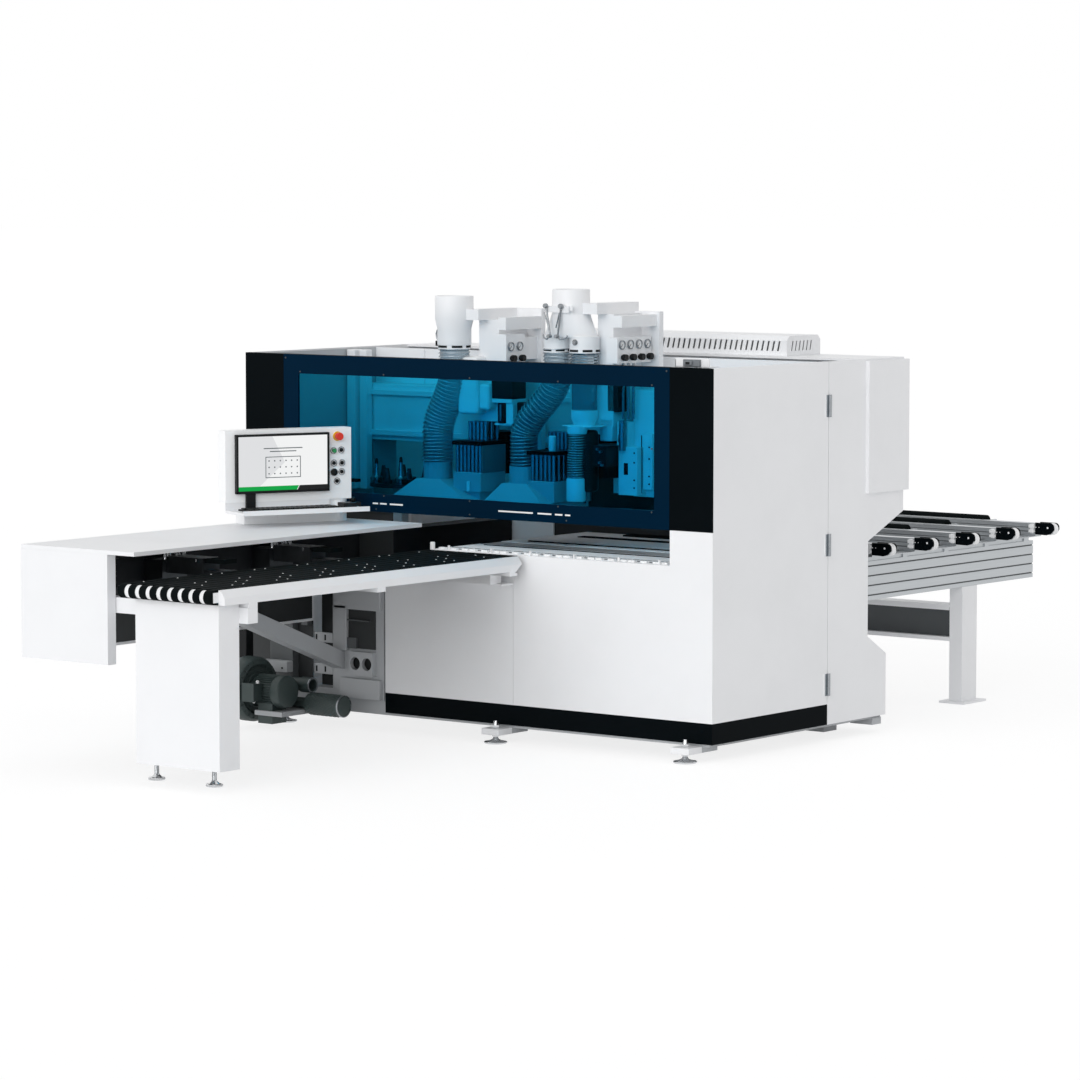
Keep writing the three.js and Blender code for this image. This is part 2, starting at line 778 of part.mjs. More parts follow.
// Vented cover on the rear of the roof, open below.
function topVentCover() {
  const bottom = cabinetHeight + fit;
  const top = cabinetHeight + ventHeight;
  const section = (inset) => [
    [ventFront + inset, bottom - (inset ? overrun : 0)],
    [ventFront + inset, top - ventChamfer],
    [ventFront + ventChamfer, top - inset],
    [ventBack - ventChamfer, top - inset],
    [ventBack - inset, top - ventChamfer],
    [ventBack - inset, bottom - (inset ? overrun : 0)],
  ];
  const shell = prism('yz', section(0), [-ventLeft, -ventRight]);
  const hollow = prism('yz', section(ventWall), [-ventLeft + ventWall, -ventRight - ventWall]);
  const slots = [];
  const slotTop = top - ventChamfer - ventWall;
  const slotBottom = slotTop - ventSlotHeight;
  for (let i = 0; i < ventSlots; i += 1) {
    const x = -ventRight - ventSlotSetIn - i * ventSlotPitch;
    slots.push(prism('xz', [
      [x - ventSlotWidth - ventSlotLean, slotBottom], [x - ventSlotLean, slotBottom], [x, slotTop], [x - ventSlotWidth, slotTop],
    ], [ventFront - overrun, ventFront + overrun]));
  }
  for (let i = 0; i < ventSideSlots; i += 1) {
    const y = ventFront + ventSlotSetIn + i * ventSlotPitch;
    slots.push(prism('yz', [
      [y, slotBottom], [y + ventSlotWidth, slotBottom], [y + ventSlotWidth + ventSlotLean, slotTop], [y + ventSlotLean, slotTop],
    ], [-ventRight - overrun, -ventRight + overrun]));
  }
  return cut(shell, hollow, ...slots);
}

// Slotted table that the board slides over inside the cabinet.
function workTablePlate() {
  const height = [workTableBottom, workTableTop];
  const through = [workTableBottom - overrun, workTableTop + overrun];
  const plate = block([-workTableLeft, -workTable.right], [flange + fit, workTable.back], height);
  const slotSpan = [-workTableLeft + drillSlot.left, -workTable.right - drillSlot.right];
  const slots = [block(slotSpan, [drillSlot.front, drillSlot.back], through)];
  for (let i = 0; i < airSlots; i += 1) {
    const y = airSlotFront + i * airSlotPitch;
    slots.push(block(slotSpan, [y, y + airSlotWidth], through));
  }
  return cut(plate, ...slots);
}

// Gantry beam with two guide rails on its front.
function gantryBeam() {
  const across = [-frameEnds.left, -frameEnds.right];
  const beam = block(across, [gantryFront, gantryFront + gantryDepth], [gantryBottom, gantryBottom + gantryHeight]);
  const railFront = [gantryFront - railDepth, gantryFront + lap];
  const low = gantryBottom + railSetIn;
  const high = gantryBottom + gantryHeight - railSetIn;
  const rails = [low, high].map((z) => block(across, railFront, span(z, railHeight / 2)));
  return join(beam, ...rails);
}

// Tool disc with its tool holders, turning on the magazine post.
function toolDiscPiece() {
  const top = toolDisc.thickness;
  const pieces = [turned([
    [0, 0], [toolDisc.radius, 0], [toolDisc.radius, top], [toolDisc.hubRadius, top],
    [toolDisc.hubRadius, top + toolDisc.hubHeight], [0, top + toolDisc.hubHeight],
  ])];
  for (let i = 0; i < toolCount; i += 1) {
    const angle = (i * 2 * Math.PI) / toolCount;
    const holder = turned([
      [0, top - lap], [toolCollarRadius, top - lap], [toolCollarRadius, top + toolCollarHeight],
      [toolConeRadius, top + toolCollarHeight], [toolTipRadius, top + toolCollarHeight + toolConeHeight],
      [0, top + toolCollarHeight + toolConeHeight],
    ], smallSides);
    pieces.push(holder.translate(toolPitchRadius * Math.cos(angle), toolPitchRadius * Math.sin(angle), 0));
  }
  return join(...pieces);
}

const railFace = gantryFront - railDepth - fit;
const carriageFront = railFace - plateThickness;

// Carriage of one head: guide plate, tower, the two bars above it and the box of pressure gauges.
function carriage(head, extra = []) {
  const depth = [carriageFront, railFace];
  const pieces = [
    block(head.plateX, depth, [plateBottom, plateTop]),
    block(head.towerX, depth, [plateTop - lap, backPlateTop]),
    block(head.columnX, [columnFront, railFace - lap], [columnBottom, head.topBarBottom + lap]),
    block(head.topBarX, [head.topBarFront, railFace - lap], [head.topBarBottom, head.topBarTop]),
    block(head.lowBarX, [head.lowBarFront, railFace - lap], [head.lowBarBottom, head.lowBarTop]),
    block(
      head.gaugeBoxX, [head.gaugeBoxFront, head.gaugeBoxBack], [head.gaugeBoxBottom, head.gaugeBoxTop],
    ),
  ];
  const boxMiddle = (head.gaugeBoxX[0] + head.gaugeBoxX[1]) / 2;
  pieces.push(block(
    span(boxMiddle, webWidth / 2), [head.gaugeBoxBack - lap, railFace - lap],
    [head.gaugeBoxBottom + flange, head.gaugeBoxTop - flange],
  ));
  return join(...pieces, ...extra);
}

// Moving slide of one head: slide plate, gearbox with its cylinders and the nose that goes into the hood.
function drillBlock(head, slideRight, extra = []) {
  const pieces = [
    block([head.blockX[0], slideRight], [slideFront, carriageFront - fit], [slideBottom, slideTop]),
    block(head.blockX, [blockFront, blockBack], [blockBottom, blockTop]),
  ];
  const nose = [head.blockX[0] + flange, head.blockX[1] - flange];
  pieces.push(block(nose, [noseFront, noseBack], [noseBottom, blockBottom + lap]));
  const stepX = (head.blockX[1] - head.blockX[0]) / cylinderColumns;
  const stepY = (slideFront - blockFront) / cylinderRows;
  for (let column = 0; column < cylinderColumns; column += 1) {
    for (let row = 0; row < cylinderRows; row += 1) {
      const place = [head.blockX[0] + (column + 0.5) * stepX, blockFront + (row + 0.5) * stepY];
      pieces.push(rod('z', cylinderRadius, [blockTop - lap, cylinderTop], place, smallSides));
    }
  }
  return join(...pieces, ...extra);
}

// Extraction hood of one head, open below, with the collar that the hose fits.
function dustHood(head) {
  const lower = { x: head.hoodX, y: [hoodFront, hoodBack] };
  const neck = {
    x: span(head.collarX, hoodNeckHalf), y: span(headLine, hoodNeckHalf),
  };
  const inset = ([low, high]) => [low + hoodWall, high - hoodWall];
  const lowerInside = { x: inset(lower.x), y: inset(lower.y) };
  const neckInside = { x: inset(neck.x), y: inset(neck.y) };
  const at = [head.collarX, headLine];
  const outside = join(
    block(lower.x, lower.y, [hoodBottom, hoodSkirtTop]),
    taper(lower, neck, [hoodSkirtTop - fit, hoodTop]),
    rod('z', collarRadius, [hoodTop - lap, hoodTop + collarHeight], at),
  );
  const nose = [head.blockX[0] + flange - noseGap, head.blockX[1] - flange + noseGap];
  return cut(
    outside,
    block(lowerInside.x, lowerInside.y, [hoodBottom - overrun, hoodSkirtTop]),
    taper(lowerInside, neckInside, [hoodSkirtTop - fit, hoodTop - hoodWall]),
    rod('z', collarRadius - hoodWall, [hoodTop - flange, hoodTop + collarHeight + overrun], at),
    block(nose, [noseFront - noseGap, noseBack + noseGap], [hoodSkirtTop - overrun, hoodTop + overrun]),
  );
}

// One drill in its shank, turning on a vertical axis, drawn with its seat at height zero.
function drillBit() {
  return turned([
    [0, 0], [drillShankRadius, 0], [drillShankRadius, -drillShankLength], [drillRadius, -drillShankLength],
    [drillRadius, -drillLength], [0, -drillLength],
  ].reverse(), smallSides);
}

// Round sleeve of the first extraction port.
function ductPort() {
  return turned([
    [portNeckRadius - portWall, portBottom], [portNeckRadius, portBottom], [portNeckRadius, portStep],
    [portRadius, portStep], [portRadius, portTop], [portNeckRadius - portWall, portTop],
    [portNeckRadius - portWall, portBottom],
  ]);
}

// Funnel from a round top to a wider oval bottom.
function funnel(topRadius, bottomHalf, bottomDepth, [z0, z1]) {
  const geometry = new THREE.CylinderGeometry(topRadius, bottomHalf, z1 - z0, roundSides);
  geometry.rotateX(Math.PI / 2).translate(0, 0, (z0 + z1) / 2);
  const points = geometry.attributes.position;
  const middle = (z0 + z1) / 2;
  for (let i = 0; i < points.count; i += 1) {
    if (points.getZ(i) < middle) {
      points.setY(i, (points.getY(i) * bottomDepth) / bottomHalf);
    }
  }
  return geometry;
}

// Second extraction port: one sleeve that splits into two outlets.
function twinDuctPort() {
  const centre = [0, 0];
  const outlets = [-twinOutletSpacing / 2, twinOutletSpacing / 2];
  const outside = join(
    rod('z', portRadius, [twinConeTop - lap, twinPortTop], centre),
    funnel(portRadius, twinConeHalf + portWall, twinOutletRadius + portWall, [twinConeBottom, twinConeTop]),
    ...outlets.map((x) => rod('z', twinOutletRadius, [portBottom, twinConeBottom + lap], [x, 0])),
  );
  const inner = portRadius - portWall;
  return cut(
    outside,
    rod('z', inner, [twinConeTop - lap, twinPortTop + overrun], centre),
    funnel(inner, twinConeHalf - portWall, twinOutletRadius - portWall, [twinConeBottom + portWall, twinConeTop]),
    ...outlets.map((x) => rod('z', twinOutletRadius - portWall, [portBottom - overrun, twinConeBottom + flange], [x, 0])),
  );
}

// Ribbed hose that hangs from a port, shifts sideways and ends on a hood collar. Its ends are straight
// for one diameter. Each rib has a ring at its crest and one in the valley, and the bore is smooth.
function ribbedHose([topX, topZ], [bottomX, bottomZ], y) {
  const length = topZ - bottomZ;
  const straight = 2 * hoseRadius;
  const bend = length - 2 * straight;
  const ribs = Math.round(length / hoseRibPitch);
  const shift = bottomX - topX;
  const pointAt = (share) => {
    const down = share * length;
    const along = THREE.MathUtils.clamp((down - straight) / bend, 0, 1);
    const ease = along * along * (3 - 2 * along);
    const slope = (shift * 6 * along * (1 - along)) / bend;
    return { x: topX + shift * ease, z: topZ - down, slope };
  };
  const positions = [];
  const ring = (share, radius) => {
    const at = pointAt(share);
    const tilt = Math.atan(at.slope);
    for (let i = 0; i < hoseSides; i += 1) {
      const angle = ((i + 0.5) * 2 * Math.PI) / hoseSides;
      const across = radius * Math.cos(angle);
      positions.push(at.x + across * Math.cos(tilt), y + radius * Math.sin(angle), at.z + across * Math.sin(tilt));
    }
  };
  const outerRings = 2 * ribs + 1;
  for (let i = 0; i < outerRings; i += 1) {
    ring(i / (outerRings - 1), i % 2 ? hoseRadius : hoseValley);
  }
  const boreRings = Math.ceil(ribs / ribsPerBoreRing) + 1;
  for (let i = 0; i < boreRings; i += 1) {
    ring(i / (boreRings - 1), hoseBore);
  }
  const faces = [];
  const band = (first, second) => {
    for (let i = 0; i < hoseSides; i += 1) {
      const next = (i + 1) % hoseSides;
      const [a, b] = [first * hoseSides + i, first * hoseSides + next];
      const [c, d] = [second * hoseSides + next, second * hoseSides + i];
      faces.push(a, c, b, a, d, c);
    }
  };
  for (let i = 0; i < outerRings - 1; i += 1) {
    band(i, i + 1);
  }
  for (let i = outerRings; i < outerRings + boreRings - 1; i += 1) {
    band(i + 1, i);
  }
  band(outerRings, 0);
  band(outerRings - 1, outerRings + boreRings - 1);
  const geometry = new THREE.BufferGeometry();
  geometry.setAttribute('position', new THREE.Float32BufferAttribute(positions, 3));
  geometry.setIndex(faces);
  geometry.computeVertexNormals();
  return geometry;
}

// Chuck and cutter of the router, drawn with the seat at height zero.
function routerChuck() {
  return turned([
    [0, -chuckLength - cutterLength], [cutterRadius, -chuckLength - cutterLength], [cutterRadius, -chuckLength],
    [chuckRadius, -chuckLength], [chuckRadius, 0], [0, 0],
  ], smallSides);
}

// Drilling unit under the work table, with its drills pointing up.
function lowerDrillUnit() {
  const { side, width, front, slideFront: face, bottom, top, bodyBottom, bodyTop } = lowerUnit;
  const z = [bottom, top];
  const body = [bodyBottom, bodyTop];
  const left = heads[2].plateX[0] - side;
  const x = [left, left + width];
  const pieces = [
    block(x, [face - lap, lowerBeamFront - fit], z),
    block(x, [front, face], body),
    block(x, [face - flange, face], [z[0], body[0] + lap]),
  ];
  const step = (x[1] - x[0]) / lowerDrills;
  const line = (front + drillSlot.back) / 2;
  for (let i = 0; i < lowerDrills; i += 1) {
    pieces.push(rod('z', lowerDrillRadius, [body[1] - lap, lowerDrillTop], [x[0] + (i + 0.5) * step, line], smallSides));
  }
  return join(...pieces);
}

const coverInside = -sideTable.front + coverPanelDepth;

// Beam that the grippers run on, with two posts under the side table.
function gripperBeamPiece() {
  const { left, right, back, bottom, top } = gripperBeam;
  const front = coverInside + fit;
  const postTop = sideTable.top - sideTable.thickness - fit;
  const posts = [front + tablePost.frontSetBack, -sideTable.back - tablePost.backSetBack].map((y) => block(
    [-left, -left + tablePost.width], [y, y + tablePost.depth], [top - lap, postTop],
  ));
  return join(block([-left, -right], [front, back], [bottom, top]), ...posts);
}

// Gripper body: carriage on the beam, arm towards the board and the fixed lip under it. Y zero is its middle.
function gripperBody() {
  const inner = -gripperBeam.right + fit;
  const carriageEnd = inner + gripperCarriage.width;
  const armEnd = carriageEnd + gripperArm.reach;
  return join(
    block([inner, carriageEnd], span(0, gripperCarriage.depth / 2), [gripperCarriage.bottom, gripperCarriage.top]),
    block([carriageEnd - lap, armEnd], span(0, gripperArm.depth / 2), [gripperArm.bottom, gripperArm.top]),
    block([armEnd - lap, armEnd + gripperLip.reach], span(0, gripperLip.depth / 2), [gripperLip.bottom, gripperLip.top]),
  );
}

function gripperJawPiece() {
  const armEnd = -gripperBeam.right + fit + gripperCarriage.width + gripperArm.reach;
  return block(
    [armEnd + fit, armEnd + fit + gripperJaw.reach], span(0, gripperJaw.depth / 2), [gripperJaw.bottom, gripperJaw.top],
  );
}

// Cover of the side table: front panel and left wall.
function tableCover() {
  const top = sideTable.top - sideTable.thickness - fit;
  const height = [coverPanelBottom, top];
  const front = block([-sideTable.left, -coverPanelRight], [-sideTable.front, coverInside], height);
  const wall = block([-sideTable.left, -sideTable.left + coverWallThickness], [-sideTable.front, -sideTable.back], height);
  return join(front, wall);
}

function tableTop() {
  const { left, right, front, back, top, thickness } = sideTable;
  return block([-left, -right], [-front, -back], [top - thickness, top]);
}

// Conveyor bed with the belts that run over it and round the nose roller.
function beltBed() {
  const top = noseRoller.z + noseRoller.radius + beltThickness;
  const body = block([-bed.left, -bed.right], [-bed.front, -bed.back], [top - bed.thickness, top - beltThickness]);
  const outer = noseRoller.radius + beltThickness;
  const inner = noseRoller.radius + fit;
  const pitch = (bed.left - bed.right) / belts;
  const loop = new THREE.Shape();
  const bedFront = -bed.front + 1;
  loop.moveTo(-bed.back, noseRoller.z + outer);
  loop.lineTo(noseRoller.y, noseRoller.z + outer);
  loop.absarc(noseRoller.y, noseRoller.z, outer, Math.PI / 2, (3 * Math.PI) / 2, false);
  loop.lineTo(bedFront, noseRoller.z - outer);
  loop.lineTo(bedFront, noseRoller.z - inner);
  loop.lineTo(noseRoller.y, noseRoller.z - inner);
  loop.absarc(noseRoller.y, noseRoller.z, inner, (3 * Math.PI) / 2, Math.PI / 2, true);
  loop.lineTo(-bed.back, noseRoller.z + inner);
  const strap = new THREE.ExtrudeGeometry(loop, { depth: beltWidth, bevelEnabled: false, curveSegments: beltCurve });
  const upright = new THREE.Matrix4().makeBasis(
    new THREE.Vector3(0, 1, 0), new THREE.Vector3(0, 0, 1), new THREE.Vector3(1, 0, 0),
  );
  strap.applyMatrix4(upright);
  const straps = [];
  for (let i = 0; i < belts; i += 1) {
    const x = -bed.left + (i + 0.5) * pitch - beltWidth / 2;
    straps.push(strap.clone().translate(x, 0, 0));
  }
  return join(body, ...straps);
}

function noseRollerPiece() {
  const left = -bed.left + lap;
  const right = -bed.right - lap;
  const axleOut = noseBracket.thickness + lap;
  return join(
    rod('x', noseRoller.radius, [left, right], [0, 0]),
    rod('x', noseRoller.axleRadius, [left - axleOut, right + axleOut], [0, 0], smallSides),
  );
}

const beltTop = noseRoller.z + noseRoller.radius + beltThickness;

// Conveyor frame: side rails, cross members, hanger on the cabinet's ledge, leg with its feet and the
// beam that carries the front of the gripper beam.
function infeedFrame() {
  const top = beltTop - railDropBelowBelt;
  const railInner = -rail.right - rail.width;
  const pieces = [prism('xz', [
    [railInner, rail.bottom], [-rail.right, rail.bottom], [-rail.right, rail.bend],
    [railInner + rail.ledge, top], [railInner, top],
  ], [-rail.front, -rail.back])];
  const leftRight = -bed.left - fit;
  const leftOuter = leftRight - leftRailWidth;
  pieces.push(block([leftOuter, leftRight], [-rail.front, -bed.back], [rail.bottom, leftRailTop]));
  const bracketHeight = [noseBracket.bottom, noseBracket.top];
  const bracketLength = [-noseBracket.reach, -rail.front + flange];
  const rightBracket = [-bed.right + fit, railInner + lap];
  pieces.push(block(rightBracket, bracketLength, bracketHeight));
  pieces.push(block([leftRight - noseBracket.thickness, leftRight], bracketLength, bracketHeight));

  const memberSpan = [leftOuter, -rail.right];
  const memberBottom = rail.bottom - crossMember.height;
  for (const y of [crossMember.front, crossMember.middle, crossMember.back]) {
    pieces.push(block(memberSpan, [y, y + crossMember.depth], [memberBottom, rail.bottom + lap]));
  }
  const ledgeTop = ledgeBottom + ledgeThickness + fit;
  const hangerX = span(-(ledgeLeft + ledgeRight) / 2, hangerHalf);
  const hangerY = [crossMember.back, -ledgeReach + hangerDepth];
  pieces.push(block(hangerX, hangerY, [ledgeTop, memberBottom + lap]));

  const beamTop = beamBottom - fit;
  const beamFront = -legCover.back + fit;
  pieces.push(block(
    [-gripperBeam.left - frontBeam.side, memberSpan[1]], [beamFront, beamFront + frontBeam.depth], [beamTop - frontBeam.height, beamTop],
  ));
  const postDepth = span(legPostY, legPostDepth / 2);
  for (const x of legPosts) {
    pieces.push(block(span(x, legPostWidth / 2), postDepth, [legPostBottom, memberBottom + lap]));
    pieces.push(rod('z', legStudRadius, [footDiscHeight - lap, legPostBottom + lap], [x, legPostY], smallSides));
    pieces.push(rod('z', legFootRadius, [0, footDiscHeight], [x, legPostY]));
  }
  pieces.push(block(legPosts, postDepth, [legPostBottom, legPostBottom + legPostWidth]));
  const chamferCut = prism('yz', [
    [-rail.back - rail.chamfer, rail.bottom - overrun], [-rail.back + overrun, rail.bottom - overrun],
    [-rail.back + overrun, rail.bend], [-rail.back, rail.bend],
  ], [railInner - lap, -rail.right + overrun]);
  const axleHole = rod(
    'x', turningBore(noseRoller.axleRadius), [leftRight - 2 * noseBracket.thickness, railInner + flange],
    [noseRoller.y, noseRoller.z], smallSides,
  );
  return cut(join(...pieces), chamferCut, axleHole);
}

// Folded cover in front of the infeed leg, open at the back, at the top and at the bottom.
function infeedLegCover() {
  const { left, right, front, back, top, bottom } = legCover;
  return cut(
    block([-left, -right], [-front, -back], [bottom, top]),
    block([-left + sheet, -right - sheet], [-front + sheet, -back + overrun], [bottom - overrun, top + overrun]),
  );
}

// Welded support left of the lower cabinet: column, notched plate, box with two holes and the brace
// that reaches forward under the gripper beam.
function supportFrame() {
  const { thickness, bottom, top, notchBottom } = supportPlate;
  const columnLeft = -gripperBeam.left + supportSide;
  const columnX = [columnLeft, columnLeft + supportColumn.width];
  const plateRight = -lowerFrontWidth - supportPlateGap;
  const boxRight = plateRight - twoHoleBox.right;
  const boxX = [boxRight - twoHoleBox.width, boxRight];
  const plateY = [supportColumn.front, supportColumn.front + thickness];
  const columnY = [supportColumn.front, supportColumn.front + supportColumn.depth];
  const column = block(columnX, columnY, [baseTop + fit, supportColumn.top]);
  const plate = block([columnLeft, plateRight], plateY, [bottom, top]);
  const notchCut = block(boxX, [plateY[0] - overrun, plateY[1] + overrun], [notchBottom, top + overrun]);
  const boxZ = [twoHoleBox.bottom, twoHoleBox.bottom + twoHoleBox.height];
  const box = block(boxX, [twoHoleBox.front, plateY[1]], boxZ);
  const boxMiddle = (boxX[0] + boxX[1]) / 2;
  const boxHeight = (boxZ[0] + boxZ[1]) / 2;
  const holes = span(boxMiddle, twoHoleBox.holeSpacing / 2).map((x) => rod(
    'y', twoHoleBox.holeRadius, [twoHoleBox.front - overrun, plateY[0]], [x, boxHeight],
  ));
  const { footBack: footY, footHeight: footZ, headFront: headY, headHeight: headZ } = brace;
  const arm = prism('yz', [
    [footY, footZ - brace.depth], [footY, footZ], [headY, headZ], [headY, headZ - brace.depth],
  ], columnX);
  const post = block(columnX, [headY, headY + brace.postDepth], [headZ - brace.depth, beamBottom - fit]);
  return cut(join(plate, column, box, arm, post), notchCut, ...holes);
}

// Side channel blower with its motor, terminal box, outlet stub and silencer.
function blowerPiece() {
  const { y, z, radius, thickness, hubRadius } = blower;
  const x = blowerX;
  const motorStart = x + thickness;
  const motorEnd = motorStart + motor.length;
  const boxStart = motorStart + terminalBox.start;
  const stubEnd = x + stubPipe.length;
  const silencerStart = x + silencer.start;
  const ring = rod('x', radius, [x, motorStart], [y, z], blowerSides);
  const faceCut = rod('x', radius - blowerRim, [motorStart - flange, motorStart + overrun], [y, z], blowerSides);
  const dish = cut(ring, faceCut);
  const shelfTop = baseBottom + blowerShelf.thickness + fit;
  const outside = join(
    dish,
    rod('x', hubRadius, [motorStart - flange - lap, motorStart + flange], [y, z]),
    rod('x', motor.radius, [motorStart, motorEnd], [y, z]),
    rod('x', motor.capRadius, [motorEnd - lap, motorEnd + motor.capLength], [y, z]),
    block([motorStart + flange, motorStart + flange + motorFoot.width], span(y, motorFoot.depth / 2), [shelfTop, z]),
    block([boxStart, boxStart + terminalBox.width], [y - motor.radius - terminalBox.reach, y], span(z, terminalBox.height / 2)),
    rod('x', stubPipe.radius, [x + lap, stubEnd], [stubPipe.y, stubPipe.z]),
    rod('x', silencer.neckRadius, [x + lap, silencerStart + lap], [silencer.y, silencer.z]),
    rod('x', silencer.radius, [silencerStart, silencerStart + silencer.length], [silencer.y, silencer.z]),
  );
  return cut(outside, rod('x', stubPipe.bore, [motorStart + flange, stubEnd + overrun], [stubPipe.y, stubPipe.z]));
}

// Console, drawn with its right front edge at zero and its face towards minus Y, then turned.
const consoleGroup = new THREE.Group();
consoleGroup.position.set(consolePlace[0], consolePlace[1], 0);
consoleGroup.rotation.z = THREE.MathUtils.degToRad(consoleTurn);
machine.add(consoleGroup);

function consoleHousing() {
  const standHeight = [sideTable.top + fit, housing.bottom + lap];
  const box = block([-housing.width, 0], [0, housing.depth], [housing.bottom, housing.top]);
  const foot = block([stand.left, -stand.columnRadius], span(stand.middle, stand.depth / 2), standHeight);
  const column = rod('z', stand.columnRadius, standHeight, [-stand.columnRadius, stand.middle]);
  const bores = [stopButton, startButton].map(({ x, z, neckRadius }) => rod(
    'y', neckRadius + buttonBore / 2, [-overrun, buttonTravel + overrun], [x, z],
  ));
  return cut(join(box, foot, column), ...bores);
}

function monitorPiece() {
  const { left, width, height, depth, bottom, bezel, recess } = monitor;
  return cut(
    block([left, left + width], [-depth - fit, -fit], [bottom, bottom + height]),
    block(
      [left + bezel, left + width - bezel], [-depth - fit - overrun, -depth - fit + recess],
      [bottom + bezel, bottom + height - bezel],
    ),
  );
}

function keyboardTray() {
  const { left, right, reach, bottom, thickness, lip, lipHeight, webDepth } = tray;
  const top = bottom + thickness;
  return join(
    block([left, right], [-reach, webDepth], [bottom, top]),
    block([left, right], [-reach, -reach + lip], [top - lap, top + lipHeight]),
    block([left, right - 2 * stand.columnRadius - fit], [0, webDepth], [top - lap, housing.bottom - fit]),
  );
}

// Push button with its stem in the panel. Y zero is the panel's face.
function pushButton({ radius, neckRadius, length, neckLength }) {
  return join(
    rod('y', radius, [-neckLength - length, -neckLength], [0, 0]),
    rod('y', neckRadius, [-neckLength - lap, buttonTravel], [0, 0], smallSides),
  );
}

const railFront = rearNeckDepth + fit;
const armY = (i) => armsFront + i * armPitch;
const rollerY = (i) => armY(i + 1) + arm.width + rollerSetBack;

// Radius of a bore whose flats clear the corners of an axle that turns in it.
function turningBore(axleRadius) {
  return (axleRadius + fit) / Math.cos(Math.PI / smallSides);
}

// Outfeed table: side rail, arms with their end plates and the brackets of the rollers.
function outfeedTable() {
  const { left, right, back, bottom, top, grooves } = sideRail;
  const front = railFront;
  const pieces = [block([-left, -right], [front, back], [bottom, top])];
  const tools = [];
  const groovePitch = (top - bottom) / grooves;
  for (let i = 0; i < grooves; i += 1) {
    const height = span(bottom + (i + 0.5) * groovePitch, grooveWidth / 2);
    tools.push(block([-right - grooveDepth, -right + overrun], [front - overrun, back + overrun], height));
  }
  const plateTip = (armPlate.top - armPlate.bottom) / 2;
  const plateEnd = -arm.tip - plateTip;
  for (let i = 0; i < outfeedArms; i += 1) {
    const y = armY(i);
    pieces.push(block([-arm.left, -arm.right], [y, y + arm.width], [arm.bottom, arm.top]));
    pieces.push(block([-left, -right], span(y + arm.width / 2, railSpacerDepth / 2), [top - lap, arm.bottom + lap]));
    for (const from of [y, y + arm.width - armPlate.thickness]) {
      const shape = new THREE.Shape();
      shape.moveTo(-arm.right - lap, armPlate.bottom);
      shape.lineTo(plateEnd, armPlate.bottom);
      shape.absarc(plateEnd, armPlate.bottom + plateTip, plateTip, -Math.PI / 2, Math.PI / 2, false);
      shape.lineTo(-arm.right - lap, armPlate.top);
      const plate = new THREE.ExtrudeGeometry(shape, {
        depth: armPlate.thickness, bevelEnabled: false, curveSegments: plateCurve,
      });
      plate.rotateX(Math.PI / 2).translate(0, from + armPlate.thickness, 0);
      pieces.push(plate);
    }
    tools.push(rod(
      'y', turningBore(pulley.axleRadius), [y - overrun, y + arm.width + overrun], [pulley.x, pulley.z], smallSides,
    ));
  }
  for (let i = 0; i < outfeedRollers; i += 1) {
    const y = rollerY(i);
    const length = [armY(i + 1) + arm.width - lap, y + rollerBracket.width / 2];
    const height = [arm.bottom, outfeedRoller.z + rollerBracket.width / 2];
    const leftSide = -outfeedRoller.left - fit;
    const rightSide = -outfeedRoller.right + fit;
    pieces.push(block([leftSide - rollerBracket.thickness, leftSide], length, height));
    pieces.push(block([rightSide, rightSide + rollerBracket.thickness], length, height));
    tools.push(rod(
      'x', turningBore(outfeedRoller.axleRadius), [leftSide - flange, rightSide + flange], [y, outfeedRoller.z], smallSides,
    ));
  }
  return cut(join(...pieces), ...tools);
}

function pulleyPiece() {
  const half = pulley.width / 2;
  const axle = half + armPlate.thickness;
  return join(
    rod('y', pulley.radius, span(0, half), [0, 0]),
    rod('y', pulley.axleRadius, span(0, axle), [0, 0], smallSides),
  );
}

function outfeedRollerPiece() {
  const half = (outfeedRoller.left - outfeedRoller.right) / 2;
  return join(
    rod('x', outfeedRoller.radius, span(0, half), [0, 0]),
    rod('x', outfeedRoller.axleRadius, span(0, half + outfeedRoller.axleReach), [0, 0], smallSides),
  );
}

// Two legs of the outfeed table with the channel between them and the far rail that the arms lie on.
function outfeedLegs() {
  const top = sideRail.bottom - fit;
  const depth = [outfeedLeg.back - outfeedLeg.depth, outfeedLeg.back];
  const rightX = [-sideRail.left, -sideRail.left + outfeedLeg.width];
  const leftX = [-farRail.left, -farRail.left + outfeedLeg.width];
  const pieces = [block(rightX, depth, [0, top]), block(leftX, depth, [0, farRail.bottom + lap])];
  for (const across of [rightX, leftX]) {
    pieces.push(block(
      [across[0] - outfeedBase.reach, across[1] + outfeedBase.reach],
      [depth[0] - outfeedBase.reach, depth[1] + outfeedBase.reach], [0, outfeedBase.thickness],
    ));
  }
  pieces.push(block(
    [-farRail.left, -farRail.right], [railFront, sideRail.back], [farRail.bottom, arm.bottom - fit],
  ));
  const channelX = [leftX[1] - lap, rightX[0] + lap];
  const channelY = [depth[0], depth[0] + channel.depth];
  pieces.push(block(channelX, [channelY[1] - channel.web, channelY[1]], [channel.bottom, channel.top]));
  pieces.push(block(channelX, channelY, [channel.top - channel.flange, channel.top]));
  pieces.push(block(channelX, channelY, [channel.bottom, channel.bottom + channel.flange]));
  return join(...pieces);
}

// Levelling foot of the base frame, with its disc on the floor at height zero.
function levellingFoot() {
  const discTop = footDiscHeight;
  const coneTop = discTop + footConeHeight;
  const studTop = footBracketBottom - fit;
  return turned([
    [0, 0], [footDiscRadius, 0], [footDiscRadius, discTop], [footStudRadius, coneTop],
    [footStudRadius, studTop - footNutHeight], [footNutRadius, studTop - footNutHeight],
    [footNutRadius, studTop], [0, studTop],
  ]);
}

